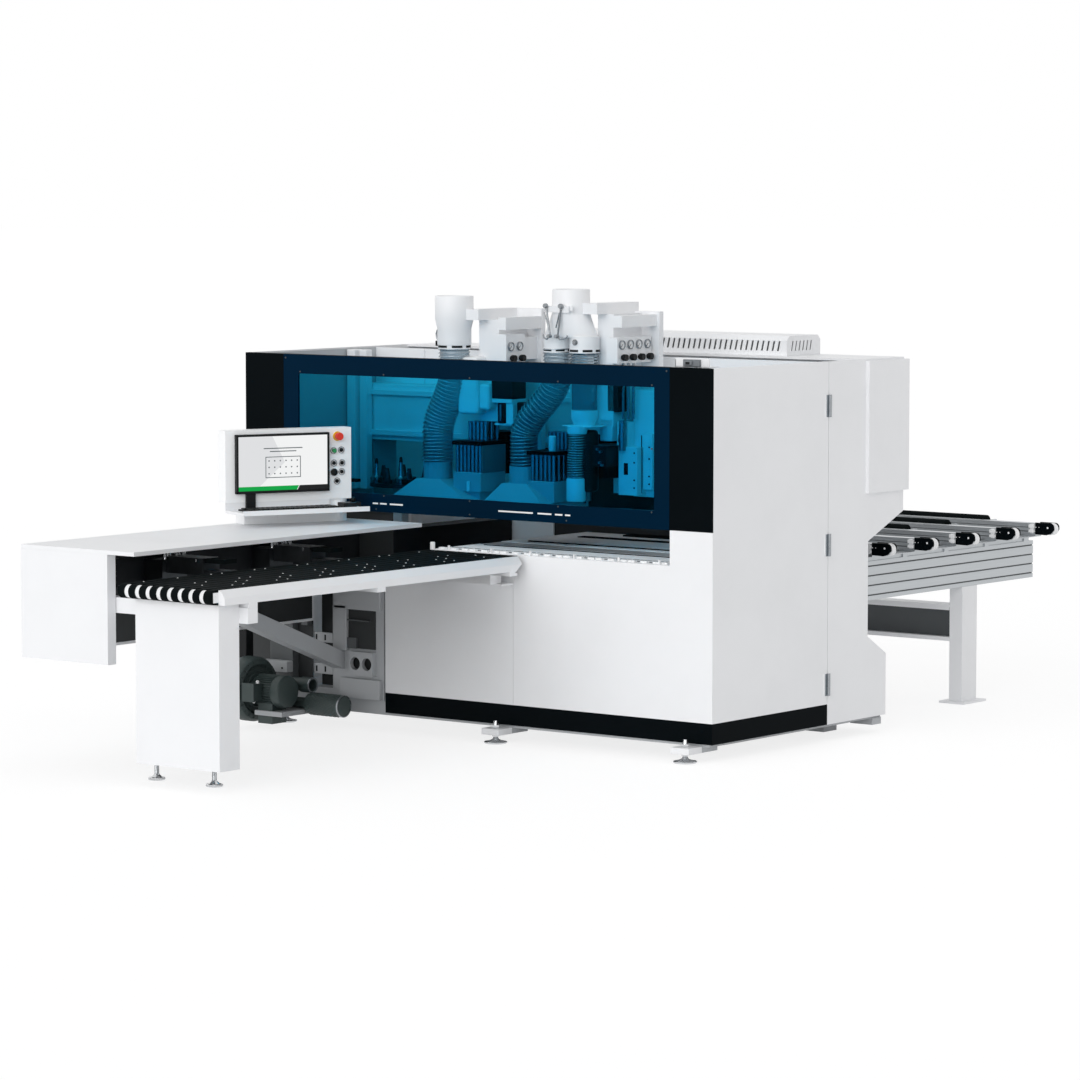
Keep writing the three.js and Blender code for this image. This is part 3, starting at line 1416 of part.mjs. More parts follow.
// Cabinet
add('base_frame', baseFrame(), grey);
add('black_skirt', skirt(), black);
add('front_panel_right', frontPanelRight(), white);
add('front_panel_left', frontPanelLeft(), white);
add('front_frame', frontFrame(), black);
add('window_frame', windowFrame(), navy);
add('window_glass', windowGlass(), tinted);
add('side_door', sideDoor(), white);
add('rear_side_panel', rearSidePanel(), white);
add('back_panels', backPanels(), white);
add('top_vent_cover', topVentCover(), white);
for (const [place, [x, y]] of Object.entries(footPlaces)) {
  add(`foot_${place}`, levellingFoot(), steel).position.set(x, y, 0);
}

// Working zone
add('work_table', workTablePlate(), aluminium);
add('gantry_beam', gantryBeam(), grey);
add('tool_disc', toolDiscPiece(), steel).position.set(discX, toolDisc.y, magazineTop);
add('lower_drill_unit', lowerDrillUnit(), castGrey);

const portX = heads[1].topBarX[0] - fit - portRadius;
const twinPortX = heads[2].topBarX[0] - fit - portRadius;
const hoodCollarTop = hoodTop + collarHeight + fit;
const hoseTop = portBottom - fit;

add('carriage_1', carriage(heads[1]), white);
add('duct_port_1', ductPort(), white).position.set(portX, headLine, 0);
add('dust_hose_1', ribbedHose([portX, hoseTop], [heads[1].collarX, hoodCollarTop], headLine), hosePlastic);
add('drill_block_1', drillBlock(heads[1], heads[1].blockX[1]), castGrey);
add('dust_hood_1', dustHood(heads[1]), grey);

const sideColumnRight = heads[2].plateX[1] - sideColumn.right;
const sideColumnPiece = block(
  [sideColumnRight - sideColumn.width, sideColumnRight], [sideColumn.front, railFace - lap], [sideColumn.bottom, sideColumn.top],
);
const routerSlide = block(span(routerX, routerRadius / 2), [headLine, slideFront + lap], [slideBottom, slideTop]);
const routerMotor = rod('z', routerRadius, [routerBottom, routerTop], [routerX, headLine]);
const hoseStart = twinPortX - twinOutletSpacing / 2;
add('carriage_2', carriage(heads[2], [sideColumnPiece]), white);
add('duct_port_2', twinDuctPort(), white).position.set(twinPortX, headLine, 0);
add('dust_hose_2', ribbedHose([hoseStart, hoseTop], [heads[2].collarX, hoodCollarTop], headLine), hosePlastic);
add('drill_block_2', drillBlock(heads[2], routerSlideRight, [routerSlide, routerMotor]), castGrey);
add('dust_hood_2', dustHood(heads[2]), grey);
add('router_chuck', routerChuck(), steel).position.set(routerX, headLine, routerBottom - fit);
for (const [number, head] of Object.entries(heads)) {
  const x = (head.blockX[0] + head.blockX[1]) / 2;
  add(`drill_${number}`, drillBit(), steel).position.set(x, (noseFront + noseBack) / 2, noseBottom - fit);
}

// Side table, gripper beam and grippers
add('table_top', tableTop(), white);
add('table_cover', tableCover(), white);
add('gripper_beam', gripperBeamPiece(), aluminium);
for (const [number, y] of Object.entries(gripperPlaces)) {
  add(`gripper_${number}`, gripperBody(), steel).position.y = y;
  add(`gripper_jaw_${number}`, gripperJawPiece(), rubber).position.y = y;
}

// Infeed conveyor
add('infeed_belt_bed', beltBed(), rubber);
add('infeed_nose_roller', noseRollerPiece(), white).position.set(0, noseRoller.y, noseRoller.z);
add('infeed_frame', infeedFrame(), white);
add('infeed_leg_cover', infeedLegCover(), white);
add('support_frame', supportFrame(), grey);
add('blower', blowerPiece(), castGrey);

// Console
add('console_housing', consoleHousing(), white, consoleGroup);
add('monitor', monitorPiece(), black, consoleGroup);
add('keyboard_tray', keyboardTray(), white, consoleGroup);
add('estop_button', pushButton(stopButton), red, consoleGroup).position.set(stopButton.x, 0, stopButton.z);
add('start_button', pushButton(startButton), green, consoleGroup).position.set(startButton.x, 0, startButton.z);

// Outfeed table
add('outfeed_table', outfeedTable(), aluminium);
add('outfeed_legs', outfeedLegs(), white);
for (let i = 0; i < outfeedArms; i += 1) {
  add(`outfeed_pulley_${i + 1}`, pulleyPiece(), white).position.set(pulley.x, armY(i) + arm.width / 2, pulley.z);
}
for (let i = 0; i < outfeedRollers; i += 1) {
  const middle = -(outfeedRoller.left + outfeedRoller.right) / 2;
  add(`outfeed_roller_${i + 1}`, outfeedRollerPiece(), rubber).position.set(middle, rollerY(i), outfeedRoller.z);
}

// Origin in the middle of the footprint, on the floor
machine.updateMatrixWorld(true);
const extent = new THREE.Box3().setFromObject(machine);
machine.position.set(-(extent.min.x + extent.max.x) / 2, -(extent.min.y + extent.max.y) / 2, -extent.min.z);

export default machine;
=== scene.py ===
# A six sided drilling machine for furniture boards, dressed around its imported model.
# Points are given in millimetres from the cabinet's front right corner at the floor: X runs to the
# right, Y back through the machine and Z up.

import math

import bmesh
import bpy
from mathutils import Matrix, Vector


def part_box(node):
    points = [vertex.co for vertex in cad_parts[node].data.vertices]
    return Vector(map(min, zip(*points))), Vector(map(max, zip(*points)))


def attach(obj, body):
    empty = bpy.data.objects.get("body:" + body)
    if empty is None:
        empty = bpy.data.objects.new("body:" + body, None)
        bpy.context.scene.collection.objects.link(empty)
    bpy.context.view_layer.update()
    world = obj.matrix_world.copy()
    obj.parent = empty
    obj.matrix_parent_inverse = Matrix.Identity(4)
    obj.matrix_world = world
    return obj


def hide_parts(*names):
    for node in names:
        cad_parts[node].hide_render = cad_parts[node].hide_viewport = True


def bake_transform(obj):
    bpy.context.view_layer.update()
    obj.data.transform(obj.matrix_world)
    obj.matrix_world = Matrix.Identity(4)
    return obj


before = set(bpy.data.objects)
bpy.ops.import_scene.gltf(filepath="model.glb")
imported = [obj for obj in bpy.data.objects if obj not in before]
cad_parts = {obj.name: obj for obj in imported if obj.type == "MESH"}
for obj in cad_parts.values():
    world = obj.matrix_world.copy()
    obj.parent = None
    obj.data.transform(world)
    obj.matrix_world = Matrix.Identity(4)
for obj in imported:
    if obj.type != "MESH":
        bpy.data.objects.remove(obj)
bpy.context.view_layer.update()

MM = 0.001
skirt_low, skirt_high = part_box("black_skirt")
CORNER = Vector((skirt_high[0], skirt_low[1], 0.0))


def corner_point(x, y, z):
    """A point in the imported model's own frame, in metres."""
    return CORNER + Vector((x, y, z)) * MM


# Finishes

def linear(code):
    """The linear colour of an sRGB hex value."""
    parts = [int(code[i:i + 2], 16) / 255 for i in (1, 3, 5)]
    return tuple(c / 12.92 if c <= 0.04045 else ((c + 0.055) / 1.055) ** 2.4 for c in parts) + (1.0,)


# Most values of a noise pattern lie between these two.
NOISE_SPAN = {"From Min": 0.3, "From Max": 0.7}


def add_node(owner, kind, inputs=None, links=None, **settings):
    """Adds a node to a finish or to the world, with its settings, its socket values and its links."""
    tree = owner.node_tree
    made = tree.nodes.new(kind)
    for name, value in settings.items():
        setattr(made, name, value)
    for name, value in (inputs or {}).items():
        made.inputs[name].default_value = value
    for name, source in (links or {}).items():
        tree.links.new(source, made.inputs[name])
    return made


def new_finish(name):
    """An empty finish with an output node, to which its shader is linked."""
    finish = bpy.data.materials.new(name)
    finish.use_nodes = True
    finish.node_tree.nodes.clear()
    return finish, finish.node_tree.nodes.new("ShaderNodeOutputMaterial")


def painted(name, colour, roughness, peel=0.06, dust="#8d8f92", dust_share=0.05, gloss=0.5):
    """Powder coat or enamel baked on sheet steel: a faint orange peel that softens the highlights, and a
    little uneven dulling where hands and dust reach it."""
    finish, output = new_finish(name)
    place = add_node(finish, "ShaderNodeTexCoord")
    # Orange peel is about 2 mm across. It is drawn 6 mm across, so that it shows at this size.
    grain = add_node(finish, "ShaderNodeTexNoise", {"Scale": 160.0, "Detail": 2.0},
                     {"Vector": place.outputs["Object"]})
    patches = add_node(finish, "ShaderNodeTexNoise", {"Scale": 2.2, "Detail": 5.0, "Roughness": 0.6},
                       {"Vector": place.outputs["Object"]})
    share = add_node(finish, "ShaderNodeMapRange",
                     {"From Min": 0.45, "From Max": 0.8, "To Min": 0.0, "To Max": dust_share},
                     {"Value": patches.outputs["Fac"]})
    tone = add_node(finish, "ShaderNodeMix", {"A": linear(colour), "B": linear(dust)},
                    {"Factor": share.outputs["Result"]}, data_type="RGBA")
    dull = add_node(finish, "ShaderNodeMapRange",
                    {**NOISE_SPAN, "To Min": roughness - 0.04, "To Max": roughness + 0.06},
                    {"Value": patches.outputs["Fac"]})
    relief = add_node(finish, "ShaderNodeBump", {"Strength": peel, "Distance": 0.0004},
                      {"Height": grain.outputs["Fac"]})
    shader = add_node(finish, "ShaderNodeBsdfPrincipled", {"IOR": 1.5, "Specular IOR Level": gloss},
                      {"Base Color": tone.outputs["Result"], "Roughness": dull.outputs["Result"],
                       "Normal": relief.outputs["Normal"]})
    finish.node_tree.links.new(shader.outputs["BSDF"], output.inputs["Surface"])
    return finish


def brushed_metal(name, colour, roughness, stretch=(1.0, 60.0, 60.0), contrast=0.12):
    """Metal with fine parallel lines left by brushing or by the die, which streak the reflections."""
    finish, output = new_finish(name)
    place = add_node(finish, "ShaderNodeTexCoord")
    lines = add_node(finish, "ShaderNodeMapping", {"Scale": stretch}, {"Vector": place.outputs["Object"]})
    # Brushing lines are about 0.1 mm wide. They are drawn near 4 mm wide, so that they show at this size.
    streaks = add_node(finish, "ShaderNodeTexNoise", {"Scale": 4.0, "Detail": 4.0, "Roughness": 0.7},
                       {"Vector": lines.outputs["Vector"]})
    rough = add_node(finish, "ShaderNodeMapRange",
                     {**NOISE_SPAN, "To Min": roughness - contrast / 2, "To Max": roughness + contrast / 2},
                     {"Value": streaks.outputs["Fac"]})
    shade = add_node(finish, "ShaderNodeMapRange", {**NOISE_SPAN, "To Min": 0.0, "To Max": 1.0},
                     {"Value": streaks.outputs["Fac"]})
    dark = tuple(c * 0.86 for c in linear(colour)[:3]) + (1.0,)
    tone = add_node(finish, "ShaderNodeMix", {"A": dark, "B": linear(colour)},
                    {"Factor": shade.outputs["Result"]}, data_type="RGBA")
    relief = add_node(finish, "ShaderNodeBump", {"Strength": 0.08, "Distance": 0.0003},
                      {"Height": streaks.outputs["Fac"]})
    shader = add_node(finish, "ShaderNodeBsdfPrincipled", {"Metallic": 1.0},
                      {"Base Color": tone.outputs["Result"], "Roughness": rough.outputs["Result"],
                       "Normal": relief.outputs["Normal"]})
    finish.node_tree.links.new(shader.outputs["BSDF"], output.inputs["Surface"])
    return finish


def moulded(name, colour, roughness, grain_size=3.0, relief_strength=0.12, gloss=0.5):
    """Moulded plastic or rubber: the fine, even texture of the mould."""
    finish, output = new_finish(name)
    place = add_node(finish, "ShaderNodeTexCoord")
    grain = add_node(finish, "ShaderNodeTexNoise", {"Scale": 1000.0 / grain_size, "Detail": 3.0},
                     {"Vector": place.outputs["Object"]})
    worn = add_node(finish, "ShaderNodeTexNoise", {"Scale": 6.0, "Detail": 3.0},
                    {"Vector": place.outputs["Object"]})
    rough = add_node(finish, "ShaderNodeMapRange",
                     {**NOISE_SPAN, "To Min": roughness - 0.05, "To Max": roughness + 0.05},
                     {"Value": worn.outputs["Fac"]})
    shade = add_node(finish, "ShaderNodeMapRange", {**NOISE_SPAN, "To Min": 0.0, "To Max": 1.0},
                     {"Value": worn.outputs["Fac"]})
    light = tuple(min(1.0, c * 1.15 + 0.002) for c in linear(colour)[:3]) + (1.0,)
    tone = add_node(finish, "ShaderNodeMix", {"A": linear(colour), "B": light},
                    {"Factor": shade.outputs["Result"]}, data_type="RGBA")
    relief = add_node(finish, "ShaderNodeBump", {"Strength": relief_strength, "Distance": 0.0004},
                      {"Height": grain.outputs["Fac"]})
    shader = add_node(finish, "ShaderNodeBsdfPrincipled", {"IOR": 1.5, "Specular IOR Level": gloss},
                      {"Base Color": tone.outputs["Result"], "Roughness": rough.outputs["Result"],
                       "Normal": relief.outputs["Normal"]})
    finish.node_tree.links.new(shader.outputs["BSDF"], output.inputs["Surface"])
    return finish


def clear_sheet(name, colour, roughness, clearness=1.0, ior=1.2):
    """Clear or tinted plastic that lets light through and keeps a glossy face."""
    finish, output = new_finish(name)
    place = add_node(finish, "ShaderNodeTexCoord")
    smears = add_node(finish, "ShaderNodeTexNoise", {"Scale": 3.0, "Detail": 4.0},
                      {"Vector": place.outputs["Object"]})
    rough = add_node(finish, "ShaderNodeMapRange",
                     {"From Min": 0.4, "From Max": 0.75, "To Min": roughness, "To Max": roughness + 0.03},
                     {"Value": smears.outputs["Fac"]})
    shader = add_node(finish, "ShaderNodeBsdfPrincipled",
                      {"Base Color": linear(colour), "IOR": ior, "Transmission Weight": clearness},
                      {"Roughness": rough.outputs["Result"]})
    finish.node_tree.links.new(shader.outputs["BSDF"], output.inputs["Surface"])
    return finish


def lit(name, colour):
    """A part of the screen that gives off its own colour under glossy glass."""
    finish, output = new_finish(name)
    shader = add_node(finish, "ShaderNodeBsdfPrincipled",
                      {"Base Color": (0.0, 0.0, 0.0, 1.0), "Roughness": 0.2, "Emission Color": linear(colour),
                       "Emission Strength": 0.95, "Specular IOR Level": 0.1})
    finish.node_tree.links.new(shader.outputs["BSDF"], output.inputs["Surface"])
    return finish


# Polyester powder coat on the sheet steel covers: clean white with a soft sheen.
white_powder_coat = painted("white powder coat", "#eff0f2", 0.42)
# The same coat, whiter and without dust, on the console and the table: the whiter colour is painted light for
# the shade they stand in.
white_coat_with_painted_light = painted("white powder coat with painted light", "#fbfcfd", 0.35, dust_share=0.0)
# The same coat in light grey, on the welded frames, the hoods and the gear cases.
grey_powder_coat = painted("light grey powder coat", "#b6b9bc", 0.5)
# Satin enamel in blue black and in navy: deep, with hardly a highlight.
black_enamel = painted("blue black enamel", "#060b0e", 0.35, dust="#10161a", dust_share=0.15, gloss=0.02)
navy_enamel = painted("navy enamel", "#001c31", 0.35, dust="#0c2740", dust_share=0.12, gloss=0.02)
# Hammered machine enamel on castings: dark green grey, rather dull.
casting_enamel = painted("green grey casting enamel", "#33403f", 0.5, peel=0.2, dust="#586462",
                         dust_share=0.3)
# Anodised aluminium extrusions, drawn along X or along Y, which streak the light across that length.
anodised_along_x = brushed_metal("anodised aluminium drawn along x", "#c3c7ca", 0.38)
anodised_along_y = brushed_metal("anodised aluminium drawn along y", "#c3c7ca", 0.38, (60.0, 1.0, 60.0))
# Ground tool steel and zinc plated fasteners, darker than the aluminium and with a sharper highlight.
ground_steel = brushed_metal("ground steel", "#9a9ea2", 0.28, (6.0, 6.0, 2.0), 0.06)
# The same steel blackened, which keeps only a faint sheen.
blackened_steel = brushed_metal("blackened steel", "#4c5053", 0.4, (6.0, 6.0, 2.0), 0.06)
# Chrome plate on the levelling feet, bright and nearly a mirror.
chrome_plate = brushed_metal("chrome plate", "#d6d8da", 0.12, (8.0, 8.0, 8.0), 0.04)
# Nitrile rubber of belts, jaws and rollers: nearly black and dull.
nitrile_rubber = moulded("nitrile rubber", "#0c1112", 0.7, gloss=0.02)
# Black anodised aluminium of the gripper beam: even and without a grain at this distance.
black_anodised = painted("black anodised aluminium", "#121518", 0.45, gloss=0.1)
# Moulded ABS of keys, knobs, covers and the screen's frame, with a broad, dull highlight.
black_abs = moulded("black ABS", "#0b0e10", 0.4, gloss=0.2)
white_abs = moulded("white ABS", "#e8e9ea", 0.35)
grey_abs = moulded("grey ABS", "#6d7277", 0.4)
red_abs = moulded("red ABS", "#d92a14", 0.3)
green_abs = moulded("green ABS", "#118a4a", 0.3)
yellow_abs = moulded("yellow ABS", "#e8b410", 0.35)
# Polycarbonate sheet in blue, clear enough to show the drilling heads.
blue_polycarbonate = clear_sheet("blue polycarbonate", "#1fa9d2", 0.0, ior=1.06)
# Soft PVC of the hoses, clear with a slight cold tint.
clear_pvc = clear_sheet("clear soft PVC", "#a3b5c0", 0.06, 0.9, ior=1.25)
# Steel wire wound round the hoses: pale, with a short highlight on each turn.
hose_wire = brushed_metal("spring steel wire", "#c6ced4", 0.22, (8.0, 8.0, 8.0), 0.04)
# Drawn steel of cylinders and hinge leaves, which streaks with light along its length.
cylinder_steel = brushed_metal("drawn cylinder steel", "#9aa1a6", 0.22, (8.0, 8.0, 1.0), 0.06)
# Phosphated steel of the window's screws: dark, with a dull sheen.
screw_steel = brushed_metal("phosphated steel", "#4b4e51", 0.4, (20.0, 20.0, 4.0))
# Painted shade: dark grey and black on sheets and marks deep in the frame, where only shade falls and little
# light comes back.
painted_shade_grey = painted("painted shade dark grey", "#54585a", 0.6)
painted_shade_black = painted("painted shade black", "#1b1f21", 0.6)
# The lit screen: each finish gives off the colour of one area of its picture.
screen_paper = lit("lit screen, pale", "#f6f7f7")
screen_shade = lit("lit screen, shaded", "#e3e4e6")
screen_green = lit("lit screen, green", "#07a546")
screen_dark = lit("lit screen, dark", "#1d1f20")
screen_ink = lit("lit screen, lines", "#5d6468")


# Forms: each is a list of points in millimetres and a list of faces

def slab(x0, x1, y0, y1, z0, z1):
    """A block between two values on each axis."""
    points = [(x, y, z) for z in (z0, z1) for y in (y0, y1) for x in (x0, x1)]
    faces = [(0, 2, 3, 1), (4, 5, 7, 6), (0, 1, 5, 4), (2, 6, 7, 3), (0, 4, 6, 2), (1, 3, 7, 5)]
    return points, faces


def oriented(axis, u, v, w):
    """A point at u and v across an axis and w along it."""
    return {"x": (w, u, v), "y": (u, w, v), "z": (u, v, w)}[axis]


def lathe(profile, centre, axis="z", steps=48, closed=False):
    """A turned form: pairs of radius and distance along the axis. centre holds the two values across it."""
    points, faces = [], []
    for radius, along in profile:
        for i in range(steps):
            angle = 2 * math.pi * i / steps
            points.append(oriented(axis, centre[0] + radius * math.cos(angle),
                                   centre[1] + radius * math.sin(angle), along))
    rings = len(profile)
    for r in range(rings if closed else rings - 1):
        a, b = r * steps, ((r + 1) % rings) * steps
        for i in range(steps):
            j = (i + 1) % steps
            faces.append((a + i, a + j, b + j, b + i))
    if not closed:
        faces.append(tuple(range(steps)))
        faces.append(tuple((rings - 1) * steps + i for i in range(steps)))
    return points, faces


def extrusion(outline, plane, near, far):
    """An outline in one plane, "xz", "yz" or "xy", drawn out square to it."""
    across = {"xz": "y", "yz": "x", "xy": "z"}[plane]
    count = len(outline)
    points = [oriented(across, u, v, w) for w in (near, far) for u, v in outline]
    faces = [tuple(range(count)), tuple(range(count, 2 * count))]
    for i in range(count):
        j = (i + 1) % count
        faces.append((i, j, count + j, count + i))
    return points, faces


def tube(path, radii, steps=16, capped=True):
    """A round form along a path of points, with one radius or one for each point."""
    spine = [Vector(p) for p in path]
    widths = radii if isinstance(radii, (list, tuple)) else [radii] * len(spine)
    points, faces = [], []
    across = None
    for i, here in enumerate(spine):
        ahead = (spine[min(i + 1, len(spine) - 1)] - spine[max(i - 1, 0)]).normalized()
        if across is None:
            across = ahead.orthogonal().normalized()
        across = (across - ahead * across.dot(ahead)).normalized()
        other = ahead.cross(across)
        for k in range(steps):
            angle = 2 * math.pi * k / steps
            points.append(tuple(here + (across * math.cos(angle) + other * math.sin(angle)) * widths[i]))
    for i in range(len(spine) - 1):
        a, b = i * steps, (i + 1) * steps
        for k in range(steps):
            j = (k + 1) % steps
            faces.append((a + k, a + j, b + j, b + k))
    if capped:
        faces.append(tuple(range(steps)))
        faces.append(tuple((len(spine) - 1) * steps + k for k in range(steps)))
    return points, faces


def hexagon(x, y, radius=20):
    """The outline of a nut."""
    turns = [math.tau * k / 6 for k in range(6)]
    return [(x + radius * math.cos(turn), y + radius * math.sin(turn)) for turn in turns]


def moved(form, matrix):
    """A form turned and shifted by a matrix."""
    points, faces = form
    return [tuple(matrix @ Vector(p)) for p in points], faces


def soften(shape, angle=35.0, width=0.0, segments=2):
    """Smooth faces with sharp creases, and a small rounding of the edges."""
    shape.data.shade_smooth()
    shape.data.set_sharp_from_angle(angle=math.radians(angle))
    if width:
        rounding = shape.modifiers.new("rounded edges", "BEVEL")
        rounding.width = width * MM
        rounding.segments = segments
        rounding.limit_method = "ANGLE"
        rounding.angle_limit = math.radians(angle)
        rounding.harden_normals = True
        rounding.use_clamp_overlap = True


def piece(name, body, finish, forms, rounding=0.0, replaces=(), angle=35.0, ride=True):
    """Joins forms into one piece that rides on a body."""
    name = name.replace(" ", "_")
    mesh = bpy.data.meshes.new(name)
    points, faces = [], []
    for form_points, form_faces in forms:
        start = len(points)
        points += [tuple(corner_point(*p)) for p in form_points]
        faces += [tuple(start + i for i in face) for face in form_faces]
    mesh.from_pydata(points, [], faces)
    shape = bmesh.new()
    shape.from_mesh(mesh)
    bmesh.ops.recalc_face_normals(shape, faces=shape.faces)
    shape.to_mesh(mesh)
    shape.free()
    mesh.materials.append(finish)
    made = bpy.data.objects.new(name, mesh)
    bpy.context.scene.collection.objects.link(made)
    soften(made, angle, rounding)
    if ride:
        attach(made, body)
    if replaces:
        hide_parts(*replaces)
    return made


def dress(node, finish, rounding=1.5):
    """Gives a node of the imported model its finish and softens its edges."""
    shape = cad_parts[node]
    for place in shape.material_slots:
        place.material = finish
    if not shape.material_slots:
        shape.data.materials.append(finish)
    soften(shape, 30.0, rounding)


# The camera stands 21 m from the corner and 2.9 m above the floor, and looks down by a few degrees.
CAMERA_PLACE = (12362.08, -17276.87, 2947.44)
CAMERA_DIP = 4.953
CAMERA_TURN = 37.877
FOCAL_LENGTH = 144.42
SENSOR_WIDTH = 36.0

lens = bpy.data.cameras.new("camera")
lens.lens = FOCAL_LENGTH
lens.sensor_width = SENSOR_WIDTH
lens.clip_end = 200.0
camera = bpy.data.objects.new("camera", lens)
camera.location = corner_point(*CAMERA_PLACE)
camera.rotation_euler = (math.radians(90 - CAMERA_DIP), 0.0, math.radians(CAMERA_TURN))
bpy.context.scene.collection.objects.link(camera)
bpy.context.scene.camera = camera

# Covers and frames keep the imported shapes.
for covered in ("front_panel_right", "front_panel_left", "side_door", "rear_side_panel", "back_panels",
                "top_vent_cover", "carriage_1", "carriage_2", "table_top", "table_cover", "infeed_frame",
                "infeed_leg_cover", "keyboard_tray", "outfeed_legs", "gantry_beam"):
    dress(covered, white_powder_coat)
# The console's housing takes the whiter coat, as painted light.
dress("console_housing", white_coat_with_painted_light, 4.0)
for framed in ("base_frame", "support_frame", "dust_hood_1", "dust_hood_2"):
    dress(framed, grey_powder_coat, 3.0)
for edged in ("black_skirt", "front_frame"):
    dress(edged, black_enamel)
dress("window_frame", navy_enamel)
dress("window_glass", blue_polycarbonate, 0.5)
dress("lower_drill_unit", casting_enamel)
dress("work_table", anodised_along_x)
dress("outfeed_table", anodised_along_y)
dress("gripper_beam", black_anodised)
for turned_steel in ("drill_1", "drill_2", "router_chuck"):
    dress(turned_steel, ground_steel, 1.0)
for blackened in ("tool_disc", "gripper_1", "gripper_2"):
    dress(blackened, blackened_steel, 1.0)
for soft in ("gripper_jaw_1", "gripper_jaw_2"):
    dress(soft, nitrile_rubber, 1.0)
dress("estop_button", red_abs, 0.6)
dress("start_button", green_abs, 0.6)

# Ports above the roof: all ducts stand in one row, and the second port has two outlets

DUCT_Y = 500.0
PORT_1 = -2038.0
PORT_2 = -1262.0
OUTLETS = (PORT_2 - 88, PORT_2 + 88)
ROUND_STEPS = 48


def sleeve(axis_x, low, step, high, neck, wide):
    """A round duct sleeve with a wider upper part, a rolled lip and an open bore."""
    return lathe([(neck - 5, low), (neck, low + 2), (neck, step - 52), (wide, step), (wide, high - 4),
                  (wide - 2, high), (wide - 6, high), (wide - 8, high - 4), (neck - 5, step - 52)],
                 (axis_x, DUCT_Y), closed=True)


def slotted_ring(axis_x, radius):
    """The ring that grips a hose under its outlet, and black marks of painted shade in the slots of its
    clamp.
    """
    low, high = 1980, 2006
    ring = lathe([(radius - 4, low), (radius + 3, low), (radius + 3, high), (radius - 4, high)],
                 (axis_x, DUCT_Y), closed=True)
    slots = []
    for turn, sweep in ((-128, 50), (-60, 38), (-6, 50), (62, 38), (118, 50), (186, 30)):
        arc = [math.radians(turn + sweep * step / 9) for step in range(10)]
        outline = []
        for reach, angles in ((radius + 3.6, arc), (radius + 1, reversed(arc))):
            outline += [(axis_x + reach * math.cos(a), DUCT_Y + reach * math.sin(a)) for a in angles]
        slots.append(extrusion(outline, "xy", low + 6, high - 8))
    return ring, slots


ring_1, slots_1 = slotted_ring(PORT_1, 84)
piece("first extraction port", "carriage_1", white_powder_coat,
      [sleeve(PORT_1, 2000, 2136, 2258, 90, 102), ring_1], replaces=["duct_port_1"])
# Black marks of painted shade in the slots of the clamp.
piece("slots of the first port", "carriage_1", black_abs, slots_1)
piece("clamp behind the first port", "carriage_1", black_abs,
      [slab(-2190, -2112, 552, 568, 1990, 1996), slab(-2204, -2178, 544, 578, 1988, 2016)], 2.0)
piece("hook behind the first port", "carriage_1", ground_steel,
      [tube([(-2192, 560, 2012), (-2206, 560, 2030), (-2210, 560, 2052), (-2202, 560, 2072),
             (-2186, 560, 2082)], 4.5)])


def twin_body():
    """The second port: one sleeve that widens in a straight cone over two outlets."""
    outside = ((2060, 160, 76), (2066, 162, 77), (2174, 104, 97), (2184, 99, 98), (2303, 98, 98),
               (2307, 95, 95))
    inside = ((2305, 92, 92), (2180, 92, 92), (2064, 152, 70))
    points = []
    for height, half, deep in outside + inside:
        for k in range(ROUND_STEPS):
            turn = math.tau * k / ROUND_STEPS
            points.append((PORT_2 + half * math.cos(turn), DUCT_Y + deep * math.sin(turn), height))
    faces = []
    rings = len(outside + inside)
    for r in range(rings):
        a, b = r * ROUND_STEPS, ((r + 1) % rings) * ROUND_STEPS
        for k in range(ROUND_STEPS):
            j = (k + 1) % ROUND_STEPS
            faces.append((a + k, a + j, b + j, b + k))
    return points, faces


twin_forms = [twin_body()]
twin_slots = []
for outlet, reach in zip(OUTLETS, (72, 78)):
    twin_forms.append(lathe([(reach - 6, 2004), (reach, 2004), (reach, 2066), (reach - 6, 2070)],
                            (outlet, DUCT_Y), closed=True))
    ring, slots = slotted_ring(outlet, reach - 2)
    twin_forms.append(ring)
    twin_slots += slots
piece("second extraction port", "carriage_2", white_powder_coat, twin_forms,
      replaces=["duct_port_2"], angle=40.0)
# Black marks of painted shade in the slots of the clamps.
piece("slots of the second port", "carriage_2", black_abs, twin_slots)
# The folded plate across the twin port carries the heads of both latches.
piece("latch plate", "carriage_2", white_powder_coat,
      [slab(-1344, -1196, 394, 397, 2188, 2218), slab(-1344, -1196, 394, 420, 2218, 2221)])
piece("latch plate tab", "carriage_2", white_powder_coat, [slab(-1196, -1176, 400, 403, 2200, 2226)])


def latch(top, low, hook):
    """A toggle latch: its head, the rod and the hook that grips the outlet's rim."""
    x0, z0 = top
    x1, z1 = low
    forms = [tube([(x0, 386, z0), (x1, 394, z1)], 5.0),
             tube([(x0 - 9, 384, z0 - 34), (x1 - 8, 390, z1 + 44)], 3.4)]
    forms.append(lathe([(0, 372), (11, 372), (13, 376), (13, 388), (11, 392), (0, 392)], (x0, z0), "y", 20))
    forms.append(lathe([(0, 372), (9, 372), (10, 376), (10, 396), (0, 398)], (x1, z1), "y", 20))
    forms.append(tube([(x1, 388, z1), (x1 + hook * 0.4, 386, z1 - 16), (x1 + hook, 392, z1 - 8),
                       (x1 + hook * 1.2, 398, z1 + 6)], 4.6))
    return forms


piece("latches of the second port", "carriage_2", ground_steel,
      latch((-1338, 2222), (-1316, 2066), -40) + latch((-1240, 2222), (-1268, 2066), 52))
piece("clamp screw of the right outlet", "carriage_2", ground_steel,
      [lathe([(0, 412), (9, 412), (11, 416), (11, 426), (0, 428)], (-1176, 2036), "y", 24),
       lathe([(13, 418), (16, 418), (16, 424), (13, 424)], (-1176, 2036), "y", 24, closed=True)])

# Hoses: clear soft PVC over a steel helix

HOSE_TOP = 2004.0
HOSE_LOW = 1378.6
HOSE_STRAIGHT = 152
ROUTER_X = -1182
ROUTER_Y = 440.0


